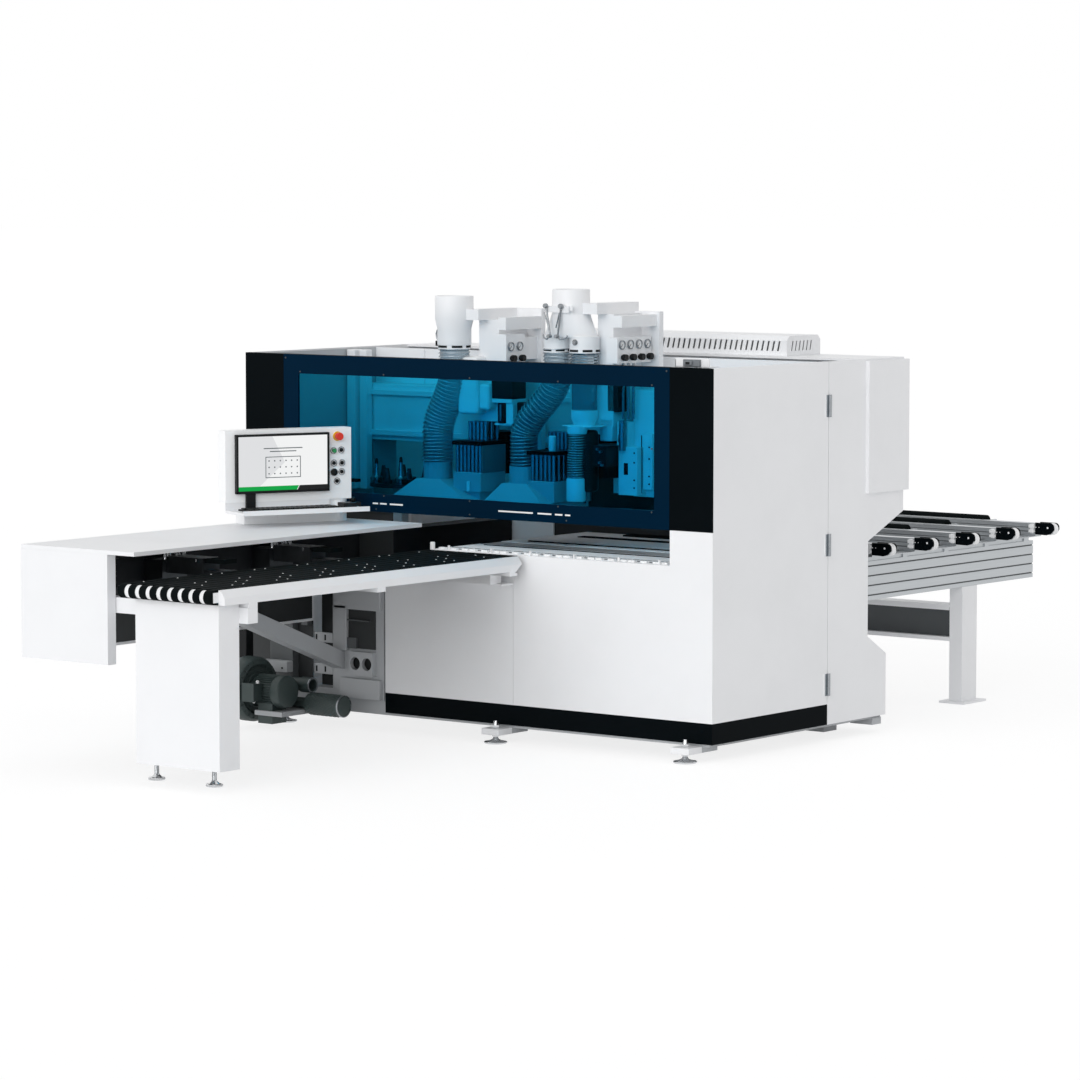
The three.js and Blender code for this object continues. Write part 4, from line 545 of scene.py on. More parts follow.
def hose_line(top_x, low_x, top, low, straight, y=DUCT_Y, count=60):
    """The line of a hose that hangs from its outlet and shifts sideways with straight ends."""
    line = []
    for i in range(count + 1):
        down = (top - low) * i / count
        along = min(1.0, max(0.0, (down - straight) / (top - low - 2 * straight)))
        line.append((top_x + (low_x - top_x) * along * along * (3 - 2 * along), y, top - down))
    return line


def on_line(line, share):
    """The point at a share of a line's length and the direction there."""
    at = share * (len(line) - 1)
    i = min(int(at), len(line) - 2)
    a, b = Vector(line[i]), Vector(line[i + 1])
    return a.lerp(b, at - i), (b - a).normalized()


def corrugated(line, crest, valley, ribs, steps=32):
    """The wall of a ribbed hose: four rings to each rib."""
    path, radii = [], []
    for i in range(4 * ribs + 1):
        spot, _ = on_line(line, i / (4 * ribs))
        path.append(tuple(spot))
        radii.append((valley, (crest + valley) / 2, crest, (crest + valley) / 2)[i % 4])
    return tube(path, radii, steps, capped=False)


def helix(line, radius, turns, thickness, per_turn=20):
    """The steel wire wound round a hose, as one unbroken coil."""
    path = []
    for i in range(turns * per_turn + 1):
        spot, ahead = on_line(line, i / (turns * per_turn))
        across = Vector((0, 1, 0))
        other = ahead.cross(across).normalized()
        angle = math.tau * i / per_turn
        path.append(tuple(spot + (across * math.cos(angle) + other * math.sin(angle)) * radius))
    return tube(path, thickness, 6)


def hanging_hose(name, line, crest, valley, ribs, bodies, ends, node=None):
    """A ribbed hose and its wire, drawn in place from the outlet down to the head."""
    wall = piece(name, bodies[0], clear_pvc, [corrugated(line, crest, valley, ribs)],
                 replaces=[node] if node else (), angle=80.0, ride=False)
    wire = piece(f"wire of the {name}", bodies[0], hose_wire, [helix(line, crest + 0.5, ribs, 2.4)],
                 angle=80.0, ride=False)
    start = corner_point(*on_line(line, ends[0])[0])
    end = corner_point(*on_line(line, ends[1])[0])
    for strand in (wall, wire):
        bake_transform(strand)


hanging_hose("first dust hose", hose_line(PORT_1, -2151, HOSE_TOP, HOSE_LOW, HOSE_STRAIGHT), 83, 76, 34,
             ("carriage_1", "head_1"), (0.12, 0.9), "dust_hose_1")
hanging_hose("second dust hose", hose_line(OUTLETS[0], -1571, HOSE_TOP, HOSE_LOW, HOSE_STRAIGHT), 74, 68, 34,
             ("carriage_2", "head_2"), (0.12, 0.9), "dust_hose_2")

# The third hose falls straight from the right outlet to a reducer, then thinner to the router.
piece("straight hose of the router", "carriage_2", clear_pvc,
      [corrugated([(OUTLETS[1], DUCT_Y, z) for z in (1999, 1940, 1880)], 73, 68, 8),
       tube([(OUTLETS[1], DUCT_Y, z) for z in (1880, 1676)], 66, 40, capped=False)],
      angle=60)
piece("wire of the straight hose", "carriage_2", hose_wire,
      [helix([(OUTLETS[1], DUCT_Y, z) for z in (1999, 1880)], 73.5, 8, 2.4)])
piece("reducer of the router hose", "carriage_2", white_abs,
      [lathe([(62, 1684), (69, 1684), (69, 1640), (56, 1616), (50, 1590), (44, 1590), (50, 1620), (62, 1642)],
             (OUTLETS[1], DUCT_Y), closed=True),
       slab(-1268, -1074, 432, 568, 1600, 1606)], 1.0)
hanging_hose("router hose", hose_line(OUTLETS[1], ROUTER_X, 1592, 1334, 70, ROUTER_Y, 30), 47, 42, 20,
             ("carriage_2", "head_2"), (0.1, 0.8))
piece("router sleeve", "head_2", white_abs,
      [lathe([(42, 1216), (48, 1216), (50, 1222), (50, 1330), (46, 1336), (40, 1330), (40, 1222)],
             (ROUTER_X, ROUTER_Y), closed=True)])
piece("cuff of the router hose", "carriage_2", white_abs,
      [lathe([(40, 1566), (50, 1566), (52, 1572), (52, 1604), (40, 1604)], (OUTLETS[1], ROUTER_Y),
             closed=True)])

# Gauges and valve knobs on the ends of both gauge boxes

def gauge(face, y, z):
    """A pressure gauge: its chrome rim, its pale dial and the hand."""
    rim = lathe([(19, face - 2), (24, face - 2), (24, face + 9), (21, face + 11), (19, face + 9)],
                (y, z), "x", 32, closed=True)
    dial = lathe([(0, face - 1), (20, face - 1), (20, face + 5), (0, face + 5)], (y, z), "x", 32)
    hand = tube([(face + 5.6, y + 3, z + 3), (face + 5.6, y - 10, z - 11)], 1.2, 6)
    return rim, dial, hand


def valve_knob(face, y, z):
    """A dark fluted knob on its collar."""
    flutes = [(y + (16 + 1.4 * (k % 2)) * math.cos(math.tau * k / 36),
               z + (16 + 1.4 * (k % 2)) * math.sin(math.tau * k / 36)) for k in range(36)]
    return [extrusion(flutes, "yz", face + 8, face + 30),
            lathe([(0, face - 1), (12, face - 1), (12, face + 10), (0, face + 10)], (y, z), "x", 24)]


for head, face, places, high, low in (("carriage_1", -1690, (537, 612), 1998, 1936),
                                      ("carriage_2", -963, (536, 609, 682, 755), 2025, 1960)):
    rims, dials, hands, knobs = [], [], [], []
    for y in places:
        rim, dial, hand = gauge(face, y, high)
        rims.append(rim)
        dials.append(dial)
        hands.append(hand)
        knobs += valve_knob(face, y + 6, low)
    piece(f"gauge rims of {head}", head, ground_steel, rims)
    piece(f"gauge dials of {head}", head, white_abs, dials)
    piece(f"gauge hands and knobs of {head}", head, black_abs, hands + knobs)

# Console: points are given along its housing, out of its front and up

CONSOLE_CORNER = (-2220, -130, 0)
CONSOLE_TURN = 66.2
CONSOLE = Matrix.Translation(CONSOLE_CORNER) @ Matrix.Rotation(math.radians(CONSOLE_TURN), 4, "Z")
PICTURE_LEFT, PICTURE_RIGHT = -652, -148
PICTURE_LOW, PICTURE_HIGH = 1276, 1555
BAR_TOP = PICTURE_LOW + 22


def on_console(form):
    """A form set in place along the console's housing."""
    return moved(form, CONSOLE)


# The stand's foot takes the whiter coat, as painted light.
piece("wide foot of the stand", "machine", white_coat_with_painted_light,
      [on_console(slab(-604, -414.8, 15.2, 124.8, 1100.4, 1217.6))], 3.0)
piece("screen surround", "machine", black_abs,
      [on_console(slab(-664, -652, -27, -1, 1262, 1567)), on_console(slab(-148, -136, -27, -1, 1262, 1567)),
       on_console(slab(-664, -136, -27, -1, 1262, 1276)), on_console(slab(-664, -136, -27, -1, 1555, 1567)),
       on_console(slab(-654, -146, -22, -1, 1274, 1557)), on_console(slab(-604, -552, -16, 8, 1182, 1264))],
      2.0, replaces=["monitor"])
piece("screen picture", "machine", screen_paper,
      [on_console(slab(PICTURE_LEFT, PICTURE_RIGHT, -23.0, -22.2, PICTURE_LOW, PICTURE_HIGH))])
piece("pale fold of the picture", "machine", screen_shade,
      [on_console(extrusion([(PICTURE_LEFT, 1292), (-540, 1292), (-390, 1420), (-460, PICTURE_HIGH),
                             (PICTURE_LEFT, PICTURE_HIGH)], "xz", -23.4, -23.0))])
piece("green bar of the picture", "machine", screen_green,
      [on_console(extrusion([(PICTURE_LEFT, PICTURE_LOW), (-322, PICTURE_LOW), (-310, BAR_TOP),
                             (PICTURE_LEFT, BAR_TOP)], "xz", -23.8, -23.0))])
piece("dark bar of the picture", "machine", screen_dark,
      [on_console(extrusion([(-318, PICTURE_LOW), (PICTURE_RIGHT, PICTURE_LOW), (PICTURE_RIGHT, BAR_TOP),
                             (-306, BAR_TOP)], "xz", -23.8, -23.0))])


def drawn_line(left, right, low, high):
    """A line or a bar on the lit picture."""
    return on_console(slab(left, right, -24.0, -23.2, low, high))


# A plain drawing of a board with its drilled holes, and two lines over it.
board_lines = [drawn_line(-500, -300, 1340, 1344), drawn_line(-500, -300, 1446, 1450),
               drawn_line(-500, -496, 1340, 1450), drawn_line(-304, -300, 1340, 1450)]
for column in range(6):
    for row in (1362, 1395, 1428):
        board_lines.append(on_console(lathe([(0, -24.0), (4, -24.0), (4, -23.2), (0, -23.2)],
                                            (-480 + 32 * column, row), "y", 12)))
for width, height in ((220, 1490), (150, 1474)):
    board_lines.append(drawn_line(-400 - width / 2, -400 + width / 2, height, height + 5))
piece("board drawing on the screen", "machine", screen_ink, board_lines)


def keyboard_forms():
    """Five staggered rows of low keys on a thin base."""
    forms = [on_console(slab(-668, -150, -196, -52, 1180, 1189))]
    for row in range(5):
        near = -188 + 27 * row
        for column in range(18):
            left = -660 + 28 * column + 5 * (row % 3)
            forms.append(on_console(slab(left, left + 23, near, near + 22, 1189, 1195)))
    return forms


piece("keyboard", "machine", black_abs, keyboard_forms(), 1.2)
piece("hand control", "machine", black_abs,
      [on_console(slab(-112, -38, -150, -66, 1180, 1206)), on_console(slab(-20, 62, 6, 60, 1158, 1196)),
       on_console(lathe([(0, 1196), (15, 1196), (17, 1202), (17, 1214), (12, 1220), (0, 1221)], (24, 34),
                        "z", 24))], 8.0)


def button_ring(x, z, radius):
    """The bezel round a button."""
    profile = [(radius - 3, 0.5), (radius, 0.5), (radius, -5), (radius - 1, -6), (radius - 3, -6)]
    return on_console(lathe(profile, (x, z), "y", 32, closed=True))


def button_head(x, z, radius, reach):
    """A round head that stands out of its bezel."""
    profile = [(0, 0.5), (radius, 0.5), (radius, 1 - reach), (radius - 2, -reach), (0, -reach - 1)]
    return on_console(lathe(profile, (x, z), "y", 32))


buttons = ((-58, 1471), (-100, 1404), (-54, 1404), (-56, 1358), (-83, 1310))
piece("button bezels", "machine", ground_steel,
      [button_ring(x, z, 18) for x, z in buttons + ((-102, 1469),)] + [button_ring(-100, 1357, 20)])
piece("button heads", "machine", black_abs,
      [button_head(x, z, 10, 7) for x, z in buttons] + [button_head(-100, 1357, 18, 12)])
piece("yellow ring of the stop button", "machine", yellow_abs,
      [on_console(lathe([(18, 0.5), (25, 0.5), (25, -3), (23.5, -5), (18, -5)], (-79, 1543), "y", 40,
                        closed=True))])

# Levelling feet: a dished disc, a threaded stud and its nut

def levelling_foot(x, y, top, radius=60, node=None):
    """One foot, standing on the floor, whose nut lies against the underside at a height."""
    profile = [(0, 0), (radius - 3, 0), (radius, 3), (radius, 8), (radius - 4, 11), (0.6 * radius, 14),
               (22, 19), (15, 25), (13, 30)]
    # The thread is drawn at 3 mm to a turn, twice its real pitch, so that it shows.
    for turn in range(int((top - 42) / 3)):
        profile += [(11, 30 + 3 * turn), (12.4, 31.5 + 3 * turn)]
    profile += [(11, top - 12), (11, top), (0, top)]
    forms = [lathe(profile, (x, y)), extrusion(hexagon(x, y), "xy", top - 11, top - 0.5)]
    piece(f"levelling foot at {round(-x)}", "machine", chrome_plate, forms,
          replaces=[node] if node else ())


def locking_nut(x, y, low):
    """The nut and the end of the stud above the bracket that the foot carries."""
    return [extrusion(hexagon(x, y), "xy", low, low + 16),
            lathe([(0, low), (11, low), (11, low + 36), (9, low + 39), (0, low + 39)], (x, y), "z", 24)]


BRACKET_LOW = 46.2
BRACKET_HIGH = 78.2
for node, x, y in (("foot_front_right", -117, -65), ("foot_front_middle", -1313, -65),
                   ("foot_front_left", -2729, -73)):
    levelling_foot(x, y, 46.5, node=node)
    piece(f"locking nut at {-x}", "machine", chrome_plate, locking_nut(x, y, 78.3))
    piece(f"white bracket at {-x}", "machine", white_powder_coat,
          [slab(x - 56, x + 56, -112, -1, BRACKET_LOW, BRACKET_HIGH)], 1.0)
for x in (-1778, -1405):
    levelling_foot(x, -2100, 102.0, radius=42)

# Side channel blower with its finned motor, its outlet pipe and its silencer

PIPE_AXIS = (-180, 225)
SILENCER_Y, SILENCER_Z = -190, 130
SILENCER_AXIS = (SILENCER_Y, SILENCER_Z)
SILENCER_RADIUS = 57


def blower_forms():
    """The fan's casing with ribs on its face, the finned motor, its terminal box and its foot."""
    x, y, z = -2800, -330, 200
    casing = [(60, x), (150, x), (168, x + 8), (171, x + 24), (171, x + 86), (160, x + 102), (134, x + 110),
              (120, x + 98), (96, x + 98), (92, x + 110), (60, x + 112), (0, x + 112), (0, x)]
    forms = [lathe(casing, (y, z), "x", 64)]
    for k in range(24):
        turn = math.tau * k / 24
        rib = [(y + r * math.cos(turn + s), z + r * math.sin(turn + s))
               for r, s in ((120, -0.02), (158, -0.016), (158, 0.016), (120, 0.02))]
        forms.append(extrusion(rib, "yz", x + 92, x + 108))
    motor = [(0, x + 108), (70, x + 108), (76, x + 116), (76, x + 252), (84, x + 256), (86, x + 262),
             (86, x + 306), (80, x + 314), (50, x + 319), (0, x + 320)]
    forms.append(lathe(motor, (y, z), "x", 48))
    for k in range(36):
        turn = math.tau * k / 36
        fin = [(y + r * math.cos(turn) + s * math.sin(turn), z + r * math.sin(turn) - s * math.cos(turn))
               for r, s in ((74, -1.6), (85, -1.2), (85, 1.2), (74, 1.6))]
        forms.append(extrusion(fin, "yz", x + 124, x + 250))
    forms.append(slab(x + 122, x + 198, y - 140, y - 68, z - 45, z + 45))
    forms.append(slab(x + 118, x + 202, y - 148, y - 138, z - 49, z + 49))
    forms.append(slab(x + 150, x + 250, y - 55, y + 55, 31, z - 60))
    return forms


piece("side channel blower", "machine", casting_enamel, blower_forms(), 1.5,
      replaces=["blower"])
piece("blower outlet pipe", "machine", casting_enamel,
      [lathe([(29, -2450), (29, -2690), (35, -2690), (35, -2520), (41, -2516), (41, -2452), (38, -2448),
              (31, -2448)], PIPE_AXIS, "x", 40, closed=True)])
piece("rim of the outlet pipe", "machine", ground_steel,
      [lathe([(33, -2450), (41.5, -2450), (41.5, -2446), (33, -2446)], PIPE_AXIS, "x", 40, closed=True)])


def silencer_forms():
    """The silencer, with the raised dots of its pressed shell, drawn at twice their real pitch."""
    forms = [lathe([(0, -2690), (28, -2690), (28, -2466), (40, -2462), (54, -2456), (SILENCER_RADIUS, -2446),
                    (SILENCER_RADIUS, -2234), (56, -2230), (0, -2230)], SILENCER_AXIS, "x", 48)]
    for ring in range(14):
        for k in range(24):
            turn = math.tau * (k + 0.5 * (ring % 2)) / 24
            y = SILENCER_Y + SILENCER_RADIUS * math.cos(turn)
            z = SILENCER_Z + SILENCER_RADIUS * math.sin(turn)
            forms.append(lathe([(2.6, -2442 + 14 * ring), (3.4, -2438 + 14 * ring), (2.6, -2434 + 14 * ring)],
                               (y, z), "x", 6))
    return forms


piece("silencer", "machine", casting_enamel, silencer_forms())
piece("silencer rim", "machine", ground_steel,
      [lathe([(54, -2231), (58, -2231), (58, -2222), (54, -2222)], SILENCER_AXIS, "x", 48, closed=True)])
piece("silencer end", "machine", casting_enamel,
      [lathe([(0, -2232), (54, -2232), (54, -2225), (0, -2224)], SILENCER_AXIS, "x", 48)])
piece("cable glands of the motor", "machine", white_abs,
      [lathe([(0, 244), (8, 244), (9, 248), (9, 256), (6, 262), (0, 263)], (-2612, -430), "z", 20),
       lathe([(0, 139), (6, 140), (8, 146), (8, 156), (0, 157)], (-2638, -430), "z", 20)])

# Infeed belts and nose

BED_LEFT, BED_RIGHT = -1795, -1205
BELTS = 9
BELT_WIDTH = 43
BELT_LOW, BELT_HIGH = 895, 965
NOSE_Y, NOSE_Z = -2310, 930


def belt_forms():
    """Nine belts that run round the nose roller, over the smooth bed between the rails."""
    forms = [slab(BED_LEFT, BED_RIGHT, -2262, -22, 934, 963.4)]
    for k in range(BELTS):
        left = BED_LEFT + k * (BED_RIGHT - BED_LEFT - BELT_WIDTH) / (BELTS - 1)
        loop = [(-2265, BELT_HIGH)]
        for step in range(17):
            turn = math.pi / 2 + math.pi * step / 16
            loop.append((NOSE_Y + 35 * math.cos(turn), NOSE_Z + 35 * math.sin(turn)))
        loop += [(-2265, BELT_LOW), (-2265, 898.4)]
        for step in range(17):
            turn = 3 * math.pi / 2 - math.pi * step / 16
            loop.append((NOSE_Y + 32.2 * math.cos(turn), NOSE_Z + 32.2 * math.sin(turn)))
        loop += [(-2265, 962.2)]
        forms.append(extrusion(loop, "yz", left, left + BELT_WIDTH))
        forms.append(slab(left, left + BELT_WIDTH, -2266, -22, BELT_LOW, BELT_HIGH))
    return forms


piece("infeed belts and bed", "machine", nitrile_rubber, belt_forms(), 0.6,
      replaces=["infeed_belt_bed"], angle=30.0)
balls = []
for row in range(13):
    for column in range(4):
        # Steps of an irrational share scatter the balls evenly without a grid.
        y = -2200 + 160 * (row + (0.618 * (4 * row + column)) % 1)
        x = -1760 + 136 * (column + (0.755 * (4 * row + column)) % 1)
        balls.append(lathe([(0, 964.6), (4.5, 964.6), (4, 966.0), (2.2, 967.0), (0, 967.3)], (x, y), "z", 10))
piece("transfer balls of the bed", "machine", white_abs, balls)
piece("nose roller", "infeed_nose_roller", white_abs,
      [lathe([(0, -1803), (8, -1803), (8, BED_LEFT), (30, BED_LEFT), (32, -1793), (32, -1207),
              (30, BED_RIGHT), (8, BED_RIGHT), (8, -1197), (0, -1197)], (NOSE_Y, NOSE_Z), "x", 48)],
      replaces=["infeed_nose_roller"])
piece("collar of the nose roller", "infeed_nose_roller", nitrile_rubber,
      [lathe([(8, -1224), (33, -1224), (33, -1201), (8, -1201)], (NOSE_Y, NOSE_Z), "x", 40, closed=True)])
piece("locating pin", "machine", white_abs,
      [lathe([(0, 960), (13, 960), (13, 998), (11, 1002), (0, 1002)], (-1790, 12), "z", 28)])

# Outfeed end plates, pulleys and clamps

ARM_FIRST = 1765
ARM_PITCH = 411
ARM_WIDTH = 60
ARMS = 5
RAIL_NEAR = 1400

plates, bolts, clamps = [], [], []
for arm in range(ARMS):
    near = ARM_FIRST + ARM_PITCH * arm
    for low, high in ((near - 2.5, near + 9.4), (near + 50.6, near + 62.5)):
        outline = [(-232, 894), (-160, 892), (-128, 902), (-112, 922)]
        for step in range(8):
            turn = math.radians(90 * step / 7)
            outline.append((-137 + 25 * math.cos(turn), 935 + 25 * math.sin(turn)))
        outline += [(-232, 960)]
        plates.append(extrusion(outline, "xz", low, high))
    for x, size in ((-226, 3), (-206, 2.4), (-150, 5.5)):
        for low, high in ((near - 3.4, near - 2.2), (near + 62.2, near + 63.4)):
            bolts.append(lathe([(0, low), (size, low), (size, high), (0, high)], (x, 934), "y", 16))
    clamps += [slab(-268, -233, near - 14, near + 2, 905, 920),
               slab(-268, -233, near - 14, near + 2, 930, 948),
               slab(-262, -240, near - 8, near + 1, 900, 952)]
piece("outfeed end plates", "machine", black_enamel, plates, 2.0)
piece("screws of the end plates", "machine", white_abs, bolts)
piece("clamps of the end plates", "machine", white_abs, clamps, 2.0)
for number in range(1, ARMS + 1):
    middle = ARM_FIRST + ARM_PITCH * (number - 1) + ARM_WIDTH // 2
    piece(f"grooved pulley {number}", f"outfeed_pulley_{number}", white_abs,
          [lathe([(0, middle - 29), (7, middle - 29), (7, middle - 20), (31, middle - 20), (33, middle - 18),
                  (33, middle - 8), (30, middle - 5), (30, middle + 5), (33, middle + 8), (33, middle + 18),
                  (31, middle + 20), (7, middle + 20), (7, middle + 29), (0, middle + 29)],
                 (-143, 926), "y", 40)],
          replaces=[f"outfeed_pulley_{number}"])
for number in range(1, ARMS):
    middle = ARM_FIRST + ARM_PITCH * number + ARM_WIDTH + 33
    piece(f"black roller {number}", f"outfeed_roller_{number}", nitrile_rubber,
          [lathe([(0, -1858), (9, -1858), (9, -1850), (33, -1850), (36, -1846), (36, -606), (33, -602),
                  (9, -602), (9, -552), (0, -552)], (middle, 942), "x", 40)],
          replaces=[f"outfeed_roller_{number}"])
# Dark grey strips of painted shade stand in the grooves of the arms.
grooves = []
for arm in range(ARMS):
    near = ARM_FIRST + ARM_PITCH * arm
    for low, high in ((907, 913), (930, 934)):
        grooves.append(slab(-1890, -236, near - 0.8, near + 0.5, low, high))
piece("painted shade in the grooves of the arms", "machine", painted_shade_grey, grooves)
rail_shades = []
for k in range(4):
    middle = 643 + (k + 0.5) * 51.75
    rail_shades.append(slab(-316.2, -315.2, RAIL_NEAR, 3514, middle - 3.4, middle + 3.4))
piece("shade in the rail grooves", "machine", painted_shade_grey, rail_shades)

# Hinges of the side door

HINGE_HALF = 56.5
for number, height in enumerate((1724, 1013, 296)):
    piece(f"door leaf of hinge {number + 1}", "side_door", cylinder_steel,
          [slab(2.6, 4.2, 985, 1003.4, height - HINGE_HALF, height + HINGE_HALF)], 0.5)
    piece(f"barrel of hinge {number + 1}", "side_door", ground_steel,
          [lathe([(0, height - 57), (8, height - 57), (8, height - 20), (7.2, height - 19), (8, height - 18),
                  (8, height + 18), (7.2, height + 19), (8, height + 20), (8, height + 57), (0, height + 57)],
                 (8, 1010), "z", 24)])
    piece(f"frame leaf of hinge {number + 1}", "machine", cylinder_steel,
          [slab(2.6, 4.2, 1018.5, 1032, height - HINGE_HALF, height + HINGE_HALF)], 0.5)

# Trim, screws and the safety switch round the window

trim = []
for left, right in ((-2183, -2147), (-2133, -2088), (-2067, -1979), (-1346, -1122), (-1092, -1003),
                    (-980, -933), (-916, -883)):
    trim.append(slab(left, right, -1.4, 0.2, 1181, 1189))
piece("pale bars under the window", "window", white_abs, trim, 0.5)
screws = []
for x, z in ((-2782, 1929), (-284, 1930), (-2160, 1155), (-1534, 1156), (-908, 1157), (-2107, 1858),
             (-1533, 1858), (-962, 1858), (-374, 1858), (-2107, 1226), (-1534, 1226), (-961, 1226),
             (-374, 1226), (-2681, 1858), (-2681, 1226), (-2681, 1542), (-374, 1542)):
    screws.append(lathe([(0, -3.0), (3, -2.8), (4.8, -1.4), (5.2, 0.2), (0, 0.2)], (x, z), "y", 16))
piece("screws of the window", "window", screw_steel, screws)
piece("switch bracket on the roof", "machine", white_powder_coat,
      [slab(-268, -60, 50, 56, 1950, 1996), slab(-268, -60, 50, 130, 1950, 1954),
       slab(-268, -262, 50, 110, 1950, 1990)], 1.5)
piece("safety switch", "machine", grey_abs,
      [slab(-210, -110, 34, 50, 1954, 1990), slab(-196, -150, 24, 36, 1962, 1982)], 3.0)
piece("switch window", "machine", black_abs, [slab(-186, -162, 22.6, 24.6, 1966, 1978)])

# Painted shade and small parts under the side table and in the open left end

# A black sheet of painted shade lines the space under the side table.
piece("painted shade inside the table cover", "machine", painted_shade_black,
      [slab(-2574, -2570, -2176, -40, 560, 1078), slab(-2574, -2010, -2136, -2132, 560, 1078)])
GRIPPER_TOP = 1002
for number, near in (("1", -1590), ("2", -790)):
    fittings, pads = [], []
    for step, reach in ((12, 7), (40, 11), (62, 6), (96, 11), (124, 6), (150, 11), (170, 6)):
        y = near + step
        cylinder = [(0, GRIPPER_TOP), (reach, GRIPPER_TOP), (reach, 1024), (0.6 * reach, 1028),
                    (0.6 * reach, 1050), (0, 1050)]
        fittings.append(lathe(cylinder, (-2200 - 5 * (step % 3), y), "z", 16))
        stub = [(0, GRIPPER_TOP), (0.5 * reach, GRIPPER_TOP), (0.5 * reach, 1016), (0, 1016)]
        fittings.append(lathe(stub, (-1990, y), "z", 12))
    for step in (30, 84, 140):
        pads.append(slab(-2218, -2186, near + step, near + step + 26, 1050, 1062))
        pads.append(slab(-2110, -2080, near + step + 4, near + step + 18, GRIPPER_TOP, 1012))
    piece(f"clamp cylinders of gripper {number}", f"gripper_{number}", chrome_plate, fittings)
    piece(f"pale pads of gripper {number}", f"gripper_{number}", white_abs, pads, 1.0)
# The valves are drawn in the dark grey of painted shade.
piece("valves beside the gripper beam", "machine", painted_shade_grey,
      [slab(-2328, -2318, -1380 + 74 * k, -1350 + 74 * k, 1030, 1052) for k in range(8)], 1.0)
# Behind the support a black sheet of painted shade closes the base. Grey parts stand in front of it.
piece("painted shade of the open left end", "machine", painted_shade_black,
      [slab(-3060, -2590, -12, -8, 196, 1138), slab(-2592, -2100, 64, 68, 196, 1138),
       slab(-2112, -2106, 24, 64, 196, 868)])
piece("cable duct behind the blower", "machine", black_abs, [slab(-2878, -2806, -300, -240, 250, 720)], 6.0)
# The column is drawn in the dark grey of painted shade.
piece("grey column beside the blower", "machine", painted_shade_grey,
      [slab(-2850, -2690, -60, -12, 196, 640), slab(-2760, -2700, -60, -12, 640, 860),
       slab(-2640, -2596, -50, -12, 520, 900)], 3.0)
piece("bored bracket beside the blower", "machine", grey_powder_coat,
      [slab(-2868, -2688, -112, -60, 268, 326)], 3.0)
# Black discs of painted shade stand for the bracket's bores.
piece("bores of the bracket", "machine", black_abs,
      [lathe([(0, -113.5), (6, -113.5), (6, -110), (0, -110)], (x, 290), "y", 16) for x in (-2800, -2720)])
piece("head of the support", "machine", grey_powder_coat,
      [slab(-2436, -2122, -22, 1.6, 620, 734), slab(-2436, -2352, -22, 1.6, 400, 640),
       slab(-2396, -2122, -26, 1.6, 152, 258)], 4.0)
piece("shade inside the support", "machine", painted_shade_black, [slab(-2350, -2166, -2, 1.8, 414, 618)])
# The shelf is drawn in the dark grey of painted shade.
piece("grey shelf inside the support", "machine", painted_shade_grey,
      [slab(-2350, -2200, -16, -2, 560, 566), slab(-2350, -2290, -14, -2, 414, 470)])
# Black discs of painted shade stand for the support's bores.
piece("dark bores of the support", "machine", black_abs,
      [lathe([(0, -4), (33, -4), (33, 1.9), (0, 1.9)], (x, 337.5), "y", 32) for x in (-2284, -2206)])
piece("flanges of the brace", "machine", grey_powder_coat,
      [slab(-2594, -2464, 0, 12, 430, 484), slab(-2594, -2464, 0, 12, 262, 318)], 4.0)
# Black bars of painted shade stand for the flanges' slots.
piece("slots of the flanges", "machine", black_abs,
      [slab(x, x + 11, -1.2, 0.4, z, z + 30) for x in (-2580, -2520) for z in (442, 274)], 3.0)

# What shows through the window

piece("rear lining above the beam", "machine", white_powder_coat,
      [slab(-3030, -30, 1040, 1044, 1752, 1944), slab(-2775, -2681, 1030, 1040, 1752, 1940),
       slab(-2579, -2440, 1030, 1040, 1752, 1940)])
piece("left lining", "machine", grey_powder_coat, [slab(-3034, -3031, 30, 1040, 1150, 1944)])
piece("posts beside the left lining", "machine", white_powder_coat,
      [slab(-3022, -2966, 780, 850, 1180, 1940), slab(-2950, -2900, 800, 850, 1180, 1940)], 4.0)
piece("tool arms of the magazine", "machine", black_abs,
      [slab(-3028, -2890, 700, 740, 1222, 1240), slab(-2560, -2510, 690, 730, 1226, 1252)], 3.0)
TOOL_Y = 772
shanks, tips = [], []
for x, high in ((-2805, 1348), (-2632, 1362)):
    shanks.append(lathe([(0, 1220), (34, 1220), (34, 1250), (20, 1258), (17, 1264), (9, high - 22),
                         (0, high - 22)], (x, TOOL_Y), "z", 28))
    tips.append(lathe([(0, high - 24), (10, high - 24), (8, high), (4, high + 6), (0, high + 6)],
                      (x, TOOL_Y), "z", 20))
piece("tool shanks", "tool_disc", ground_steel, shanks)
piece("tool tips", "tool_disc", black_abs, tips)


def cylinder_bank(left, right, front, back, low, high, radius, columns, rows):
    """Short-stroke cylinders in rows over a drilling block."""
    forms = []
    for column in range(columns):
        for row in range(rows):
            x = left + (right - left) * (column + 0.5) / columns
            y = front + (back - front) * (row + 0.5) / rows
            forms.append(lathe([(0, low), (radius, low), (radius, high), (0, high)], (x, y), "z", 14))
    return forms


